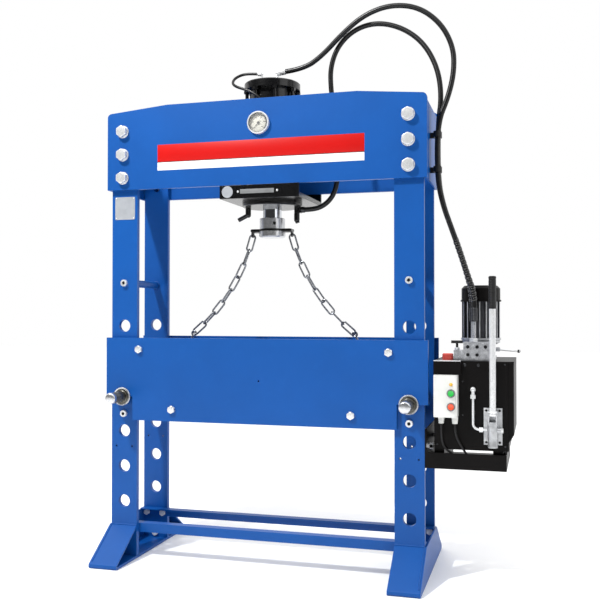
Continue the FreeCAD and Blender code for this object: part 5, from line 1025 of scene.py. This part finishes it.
# ---------------------------------------------------------------- chains
@dataclass
class Chains:
    """The long-link chains, which sag a little between the ram and the bed, with their hooks."""

    count: int = 8
    inner: float = 18.5
    wire: float = 8.2
    gap: float = 0.3
    sag_turn: float = 4.6
    rim: Point = (92.0, 0.0, 1429.7)
    rim_size: tuple[float, float] = (6.0, 5.4)
    hold: Point = (372.92, 0.0, 1000.5)
    lean: float = 33.205
    twists_left: Sequence[float] = (0, 55, 125, 10, 92, 8, 95, 5)
    twists_right: Sequence[float] = (0, 90, 5, 60, 125, 5, 80, 20)
    hook_reach: float = 68.0
    hook_wire: float = 9.0
    hook_eye: float = 10.0
    bar_radius: float = 12.0
    shank: float = 18.0
    tip: float = 8.0

    def build(self) -> None:
        """Makes both chains from one link."""
        joints = self.joints(1)
        link = self.link((joints[1] - joints[0]).length + self.gap)
        for side, name, twists in ((-1, "left", self.twists_left),
                                   (1, "right", self.twists_right)):
            joints = self.joints(side)
            pieces = []
            for upper, lower, twist in zip(joints, joints[1:], twists):
                along = (lower - upper).normalized()
                flat = Vector((0, 1, 0)).cross(along)
                across = Matrix.Rotation(math.radians(twist), 3, along) @ flat
                turn = Matrix((across, along, across.cross(along))).transposed().to_4x4()
                place = at(*upper.lerp(lower, 0.5))
                pieces.append(copied(link, "link", Matrix.Translation(place) @ turn))
            pieces.append(self.hook(side, self.pull(side, self.lean), joints[-1]))
            finish(join("chain_" + name + "_links", pieces), CHAIN_ZINC, Body.RAM,
                   ("chain_" + name,), 60)
        bpy.data.objects.remove(link)

    @staticmethod
    def pull(side: int, lean: float) -> Vector:
        """The direction of a link that leans so many degrees out of the vertical."""
        return Vector((side * math.sin(math.radians(lean)), 0, -math.cos(math.radians(lean))))

    def joints(self, side: int) -> list[Vector]:
        """The points where a chain's links bear on each other, from the ram to the hook.

        Args:
            side: -1 for the left chain and 1 for the right one.

        Returns:
            One point more than there are links, in millimetres.
        """
        half = self.sag_turn * (self.count - 1) / 2
        start = Vector((side * self.rim[0], self.rim[1], self.rim[2]))
        start -= self.pull(side, self.lean - half) * (math.hypot(*self.rim_size) / 2 + self.gap)
        chord = Vector((side * self.hold[0], self.hold[1], self.hold[2])) - start
        lean = math.degrees(math.atan2(side * chord.x, -chord.z))
        step = (chord.length * math.sin(math.radians(self.sag_turn / 2))
                / math.sin(math.radians(self.count * self.sag_turn / 2)))
        points = [start]
        for k in range(self.count):
            points.append(points[-1] + self.pull(side, lean - half + k * self.sag_turn) * step)
        return points

    def link(self, length: float) -> bpy.types.Object:
        """One long link at the origin, along Y.

        Args:
            length: its inner length in millimetres.

        Returns:
            The new link.
        """
        clear_selection()
        bpy.ops.mesh.primitive_torus_add(
            major_segments=20, minor_segments=12, major_radius=(self.inner + self.wire) / 2 * MM,
            minor_radius=self.wire / 2 * MM, rotation=(0, 0, math.radians(9)))
        obj = settle("link")
        for way in (-1, 1):
            with editing(obj, "VERT"):
                pick(obj, "verts", lambda v, way=way: v.co.y * way > 0)
                bpy.ops.transform.translate(value=(0, way * (length - self.inner) / 2 * MM, 0))
        return obj

    def hook(self, side: int, along: Vector, hold: Vector) -> bpy.types.Object:
        """The open hook and its eye at the end of a chain."""
        bar_centre = hold + along * self.hook_reach
        radius = self.bar_radius + self.gap + self.hook_wire / 2
        eye = hold + along * (self.hook_eye - self.hook_wire / 2 - self.gap)
        out = Vector((side, 0, 0))
        up = Vector((0, 0, 1))
        shoulder = bar_centre - out * radius + up * self.shank
        start = eye + (shoulder - eye).normalized() * self.hook_eye
        path = [start, start.lerp(shoulder, 0.55), shoulder, shoulder - up * 10]
        path += [bar_centre + out * (radius * math.cos(math.radians(180 + 15 * k)))
                 + up * (radius * math.sin(math.radians(180 + 15 * k))) for k in range(13)]
        path.append(bar_centre + out * radius + up * self.tip)
        stem = bar("stem", self.hook_wire / 2, [tuple(p) for p in path], 1.5)
        clear_selection()
        bpy.ops.mesh.primitive_torus_add(
            major_segments=24, minor_segments=12, major_radius=self.hook_eye * MM,
            minor_radius=self.hook_wire / 2 * MM, location=at(*eye),
            rotation=(math.pi / 2, 0, 0))
        return join("hook", [stem, settle("eye")])


# ---------------------------------------------------------------- cylinder and gauge
@dataclass
class Cylinder:
    """The details of the cylinder, the carriage and the ram."""

    bar_front: float = -192.0
    screw_turn: float = 27.5

    def build(self) -> None:
        """Makes the small pieces round the cylinder."""
        for node in ("carriage_bars", "carriage_plate"):
            eased(node, 1.0, BLACK_ENAMEL, Body.FRAME)
        eased("chain_plate", 0.8, BLACK_ENAMEL, Body.RAM)
        band = block("plate_band", (-92, -23.5, 1448), (92, 23.5, 1463.5), 2.5)
        disc = lathe("disc", [(0, 1448), (56.2, 1448), (57.6, 1449.4), (57.6, 1462.1),
                              (56.2, 1463.5), (0, 1463.5)], (0, 0, 0), (0, 0, 1), 64)
        finish(join("chain_plate_cover", [band, disc]), BLACK_ENAMEL, Body.RAM, smooth=30)
        self.hooks()
        rim = lathe("bare_badge", [(0, 0), (25, 0), (25, 1.6), (24, 2.4), (21.6, 2.4),
                                   (21, 1.5), (0, 1.5)],
                    (-142, self.bar_front, 1609), (0, -1, 0))
        finish(rim, PLATE_ALLOY, Body.FRAME)
        strip = block("bare_strip", (-84, self.bar_front - 0.8, 1600), (68, self.bar_front, 1619),
                      0.3)
        finish(strip, ABS_DARK, Body.FRAME)
        screws = []
        for x in (82, -94):
            screws.append(pan_screw((x, self.bar_front, 1609), 4.6))
        finish(join("carriage_screws", screws), ZINC, Body.FRAME)
        self.grub_screw()

    def hooks(self) -> None:
        """Sleeves the two bent hooks under the gland with their plastic-dipped coat."""
        pieces = []
        for x, root, knee, tip in ((-114, 1560, 1530, (-160, 1508)), (114, 1532, 1502, (118, 1488))):
            stem = bar("stem", 12.6, [(x, 0, root - 1), (x, 0, knee)], 2.0, ring=8)
            ball = lathe("ball", [(0, -12.6), (6.3, -10.9), (10.9, -6.3), (12.6, 0), (10.9, 6.3),
                                  (6.3, 10.9), (0, 12.6)], (x, 0, knee), (0, 0, 1), 32)
            toe = bar("toe", 9.6, [(x, 0, knee), (tip[0], 0, tip[1])], 3.0, ring=8)
            pieces += [stem, ball, toe]
        finish(join("lifting_hooks", pieces), BLACK_ENAMEL, Body.FRAME, smooth=50)

    def grub_screw(self) -> None:
        """Sets the grub screw in the ram's collar."""
        turn = math.radians(self.screw_turn)
        out = (math.sin(turn), -math.cos(turn), 0.0)
        screw = lathe("grub_screw", [(0, 0), (6.6, 0), (6.6, 5), (5.8, 5.8), (3.2, 5.8),
                                     (3.0, 2.0), (0, 2.0)],
                      (48 * out[0], 48 * out[1], 1486), out, 24)
        finish(screw, NYLON, Body.RAM)


@dataclass
class Gauge:
    """The pressure gauge: bezel, dial, scale and needle."""

    height: float = 1899.0
    face: float = -194.0
    divisions: int = 50
    sweep: float = 270.0
    top_value: int = 600

    def build(self) -> None:
        """Makes the bezel, the dial and the scale."""
        bezel = lathe("gauge_bezel", [
            (41.6, 2.0), (41.6, 14.0), (42.8, 16.0), (45.6, 16.0), (47.8, 14.4), (49, 11.0),
            (49, 1.2), (48.2, 0.2), (42.5, 0), (42.5, -34), (8, -34), (8, -64), (0, -64), (0, -60),
            (6, -60), (6, -30), (39.5, -30), (39.5, 1.2), (41.6, 2.0)],
            (0, FRONT_OF_HEAD, self.height), (0, -1, 0), 64)
        finish(bezel, ZINC, Body.FRAME, ("gauge_case",), 30)
        # A dark liner inside the bezel: painted shade of the bezel's inner wall.
        wall = lathe("gauge_wall_painted_shade", [(41.6, 1.4), (41.6, 14.0), (41.0, 14.0), (41.0, 1.4)],
                     (0, FRONT_OF_HEAD, self.height), (0, -1, 0), 64)
        finish(wall, SLEEVE_STEEL, Body.FRAME, smooth=30)
        dial = lathe("gauge_dial", [(0, 0), (41.3, 0), (41.3, 1.0), (40.7, 1.3), (0, 1.3)],
                     (0, self.face + 1.3, self.height), (0, -1, 0), 64)
        finish(dial, DIAL_WHITE, Body.FRAME, smooth=30)
        marks = []
        strokes = {True: self.stroke(28.5, 36.3, 2.0), False: self.stroke(32.0, 36.3, 0.9)}
        centre = at(0, self.face - 0.1, self.height)
        for k in range(self.divisions + 1):
            angle = math.radians(225 - self.sweep * k / self.divisions)
            turn = Matrix.Translation(centre) @ Matrix.Rotation(-angle, 4, "Y")
            marks.append(copied(strokes[k % 10 == 0], "stroke", turn))
        for source in strokes.values():
            bpy.data.objects.remove(source)
        # A thin dark ring round the whole sweep, and a thick dark band over its last part on the
        # dial's right.
        marks.append(self.arc(37.0, 0.9, 0, 45))
        marks.append(self.arc(35.0, 2.2, 32, 45))
        for k in range(0, self.divisions + 1, 10):
            angle = math.radians(225 - self.sweep * k / self.divisions)
            value = str(round(self.top_value * k / self.divisions))
            marks.append(self.number(value, 24 * math.cos(angle), 24 * math.sin(angle)))
        finish(join("gauge_scale", marks), DIAL_BLACK, Body.FRAME, smooth=20)
        hub = lathe("needle_hub", [(0, 0), (5, 0), (5, 1.6), (3.6, 2.6), (0, 2.8)],
                    (0, -198.0, self.height), (0, -1, 0), 24)
        finish(hub, NYLON, Body.NEEDLE)

    @staticmethod
    def stroke(inner: float, outer: float, width: float) -> bpy.types.Object:
        """A printed stroke of the scale at the origin, along +X."""
        return block("stroke", (inner + MIDDLE, -0.1, -width / 2),
                     (outer + MIDDLE, 0.1, width / 2), 0.08)

    def arc(self, radius: float, half: float, first: int, last: int) -> bpy.types.Object:
        """A dark arc on the dial, along the scale.

        Args:
            radius: its radius in millimetres.
            half: half its width in millimetres.
            first: the step at which it begins, of 45 steps.
            last: the step at which it ends.

        Returns:
            The new arc.
        """
        points = []
        for k in range(first, last + 1):
            angle = math.radians(225 - self.sweep * k / 45)
            points.append((radius * math.cos(angle), self.face - 0.1,
                           self.height + radius * math.sin(angle)))
        return bar("arc", half, points, ring=1)

    def number(self, value: str, x: float, z: float) -> bpy.types.Object:
        """A printed number of the scale."""
        data = bpy.data.curves.new("number", "FONT")
        data.body = value
        data.size = 7.0 * MM
        data.align_x = "CENTER"
        data.align_y = "CENTER"
        data.extrude = 0.1 * MM
        obj = bpy.data.objects.new("number", data)
        bpy.context.scene.collection.objects.link(obj)
        obj.location = at(x, self.face - 0.1, self.height + z)
        obj.rotation_euler = (math.pi / 2, 0, 0)
        choose(obj)
        bpy.ops.object.convert(target="MESH")
        return settle("number")


# ---------------------------------------------------------------- power pack
@dataclass
class PowerPack:
    """The tank, the motor, the valves, the hand pump and the starter."""

    cover_front: float = -150.0
    lid_top: float = 896.0
    pump_x: float = 969.0
    pump_y: float = -178.0
    motor_x: float = 910.0
    motor_y: float = 40.0
    fin_edge: float = 78.2

    def build(self) -> None:
        """Makes the pack's pieces."""
        for node, width in (("tank", 2.0), ("tank_cover", 0.9), ("shelf", 0.8),
                            ("tank_lid", 1.0)):
            eased(node, width, TANK_COAT, Body.FRAME)
        eased("valve_block", 0.9, VALVE_STEEL, Body.FRAME)
        self.fins(eased("motor_body", 0.8, MOTOR_GREY, Body.FRAME))
        self.cover()
        self.starter()
        self.pump()
        self.motor()
        self.valves()

    def fins(self, body: bpy.types.Object) -> None:
        """Gives the outer edges of the motor's fins a bright metal, as a painted highlight."""
        body.data.materials.append(FIN_HIGHLIGHT.make())
        axis = at(self.motor_x, self.motor_y, 0)
        for face in body.data.polygons:
            reach = (face.center - axis).to_2d().length / MM
            if reach > self.fin_edge and abs(face.normal.z) < 0.5:
                face.material_index = 1

    def cover(self) -> None:
        """Makes the screws and the zinc strip of the front cover."""
        heads = [pan_screw((x, self.cover_front, z), r) for x, z, r in (
            (858, 881, 6.0), (912, 880, 6.0), (850, 815, 3.6), (850, 680, 3.2),
            (1016, 884, 4.0), (1016, 560, 4.0), (748, 560, 4.0))]
        finish(join("cover_screws", heads), SLEEVE_STEEL, Body.FRAME)
        strip = block("lid_strip", (737, -178, 896), (844, -146, 899), 0.5)
        finish(strip, ZINC, Body.FRAME)

    def starter(self) -> None:
        """Makes the starter's details: lid seam, screws, button rings, lamp and glands."""
        eased("starter_box", 1.6, ABS_GREY, Body.FRAME)
        seam = block("starter_seam", (739.4, -176, 674.4), (834.6, -174, 842.6), 0.3)
        finish(seam, ABS_DARK, Body.FRAME)
        rings = []
        for z in (718, 771):
            rings.append(lathe("ring", [(12.1, -2), (12.1, 5.4), (13.2, 6.2), (15.4, 5.8),
                                        (17, 3.6), (17, 0), (12.1, -2)],
                               (810, -215, z), (0, -1, 0)))
        finish(join("button_rings", rings), ABS_DARK, Body.FRAME)
        for z, name, surface, body in ((771, "start", GREEN_CAP, Body.START),
                                       (718, "stop", RED_CAP, Body.STOP)):
            cap = lathe(name + "_cap", [(0, -16), (11.9, -16), (11.9, 9.6), (10.8, 11),
                                        (7.5, 10.6), (0, 9.8)], (810, -215, z), (0, -1, 0))
            finish(cap, surface, body, (name + "_button",))
        lamp = lathe("amber_lamp", [(0, 0), (7, 0), (7, 1.4), (5.6, 3.4), (3, 4.6), (0, 5)],
                     (810, -215, 806), (0, -1, 0), 32)
        finish(lamp, AMBER_CAP, Body.FRAME)
        screws = [pan_screw((x, -215, z), 2.6) for x in (747, 827) for z in (682, 835)]
        finish(join("starter_screws", screws), ZINC, Body.FRAME)
        glands = []
        for x in (768, 822):
            glands.append(lathe("gland", [(4.7, 0), (7.5, 0), (9.2, 2.5), (10.2, 6), (11.2, 9),
                                          (12.2, 10), (12.2, 17), (11.2, 18), (13, 18.6),
                                          (13, 26), (12, 27), (4.7, 27), (4.7, 0)],
                                (x, -182, 648), (0, 0, 1), 12))
        finish(join("cable_glands", glands), ABS_GREY, Body.FRAME, smooth=20)

    def pump(self) -> None:
        """Makes the hand pump's details and its lever."""
        eased("hand_pump_body", 1.0, CAST_ALLOY, Body.FRAME)
        bolts = []
        for dx in (-26, 26):
            for z in (576, 702):
                bolts.append(lathe("bolt", [(0, 0), (4.9, 0), (4.9, 2.4), (4.2, 3), (2.4, 3),
                                            (2.4, 1), (0, 1)],
                                   (self.pump_x + dx, -156.4, z), (0, -1, 0), 16))
        finish(join("pump_bolts", bolts), NYLON, Body.FRAME)
        barrel = lathe("pump_rings", [
            (19, 0), (19.6, 0.6), (19.6, 5), (19.1, 6), (19.1, 34), (20.6, 35), (20.6, 43),
            (19.1, 44), (19.1, 84), (20.6, 85), (20.6, 99), (19.4, 100), (19, 100)],
            (self.pump_x, self.pump_y, 559), (0, 0, 1), 36)
        finish(barrel, CAST_ALLOY, Body.FRAME, smooth=30)
        plug = hex_piece("pump_plug", 17.0, 9.0)
        plug.data.transform(turn_to(Vector((1, 0, 0)), at(self.pump_x + 31.8, self.pump_y, 626)))
        finish(plug, ZINC, Body.FRAME, smooth=30)
        eased("hand_pump_lever", 0.8, ZINC, Body.PUMP)
        ribs = [(13.3, 0), (14.6, 0.8), (15.4, 3), (15.4, 7), (14.4, 9)]
        for k in range(16):
            height = 11 + 6.4 * k
            ribs += [(14.4, height), (15.1, height + 1.2), (15.1, height + 3.8),
                     (14.4, height + 5)]
        ribs += [(14.4, 119), (15.2, 121), (15.2, 126), (12.5, 129.2), (6, 130), (0, 130)]
        grip = lathe("grip_ribbed", ribs, (self.pump_x, self.pump_y, 1106), (0, 0, 1), 32)
        finish(grip, NYLON, Body.PUMP, ("hand_pump_grip",), 30)

    def motor(self) -> None:
        """Makes the motor's bands and the bolts of its flange."""
        band = lathe("motor_band", [(79.2, 0), (82.5, 0.8), (82.5, 9), (79.2, 10), (76, 10),
                                    (76, 0), (79.2, 0)],
                     (self.motor_x, self.motor_y, 976), (0, 0, 1), 60)
        finish(band, CAST_ALLOY, Body.FRAME, smooth=30)
        heads = []
        for k in range(8):
            angle = math.radians(22.5 + 45 * k)
            nut = hex_piece("nut", 10.0, 6.0)
            nut.data.transform(Matrix.Translation(at(
                self.motor_x + 63 * math.cos(angle), self.motor_y + 63 * math.sin(angle), 905)))
            heads.append(nut)
        finish(join("bell_bolts", heads), ZINC, Body.FRAME, smooth=30)

    def valves(self) -> None:
        """Makes the plugs and the collar round the relief screw."""
        pieces, plugs = [], []
        for x, z in ((868, 920), (905, 920), (938, 952), (905, 952), (868, 952)):
            plug = hex_piece("plug", 13.0, 6.0)
            plug.data.transform(turn_to(Vector((0, -1, 0)), at(x, -115, z)))
            plugs.append(plug)
        finish(join("valve_sockets", plugs), BLACK_STEEL_AND_SHADE, Body.FRAME, smooth=30)
        for x, y in ((893, -90), (883, -62)):
            nut = hex_piece("nut", 24.4, 14.2)
            nut.data.transform(Matrix.Translation(at(x, y, 972)))
            pieces.append(nut)
        pieces.append(lathe("collar", [(5.3, 0), (10, 0), (10, 8), (8.6, 10), (5.3, 10),
                                       (5.3, 0)], (822, -82, 938), (0, 0, 1), 24))
        finish(join("valve_plugs", pieces), ZINC, Body.FRAME, smooth=30)
        ball = lathe("lever_ball", [(0, -7.2), (3.7, -6.3), (6.4, -3.7), (7.2, 0), (6.4, 3.7),
                                    (3.7, 6.3), (0, 7.2)], (1067.8, -82, 935),
                     (1, 0, -0.08), 24)
        finish(ball, NYLON, Body.VALVE, smooth=60)


def dress_nodes() -> None:
    """Gives every CAD node its material."""
    for surface, names in NODE_FINISHES.items():
        for name in names:
            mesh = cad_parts[name].data
            mesh.materials.clear()
            mesh.materials.append(surface.make())


def main() -> None:
    """Builds the scene: camera and cords first, then each sub-assembly."""
    logging.basicConfig(level=logging.INFO, format="%(name)s: %(message)s")
    bpy.context.scene.view_settings.view_transform = "Standard"
    studio = Studio()
    studio.camera()
    hoses = Hoses()
    hoses.build()
    hoses.dress()
    studio.floor()
    studio.lights()
    dress_nodes()
    hoses.fittings()
    for assembly in (PressFrame(), Bed(), Chains(), Cylinder(), Gauge(), PowerPack()):
        assembly.build()


if __name__ == "__main__":
    main()
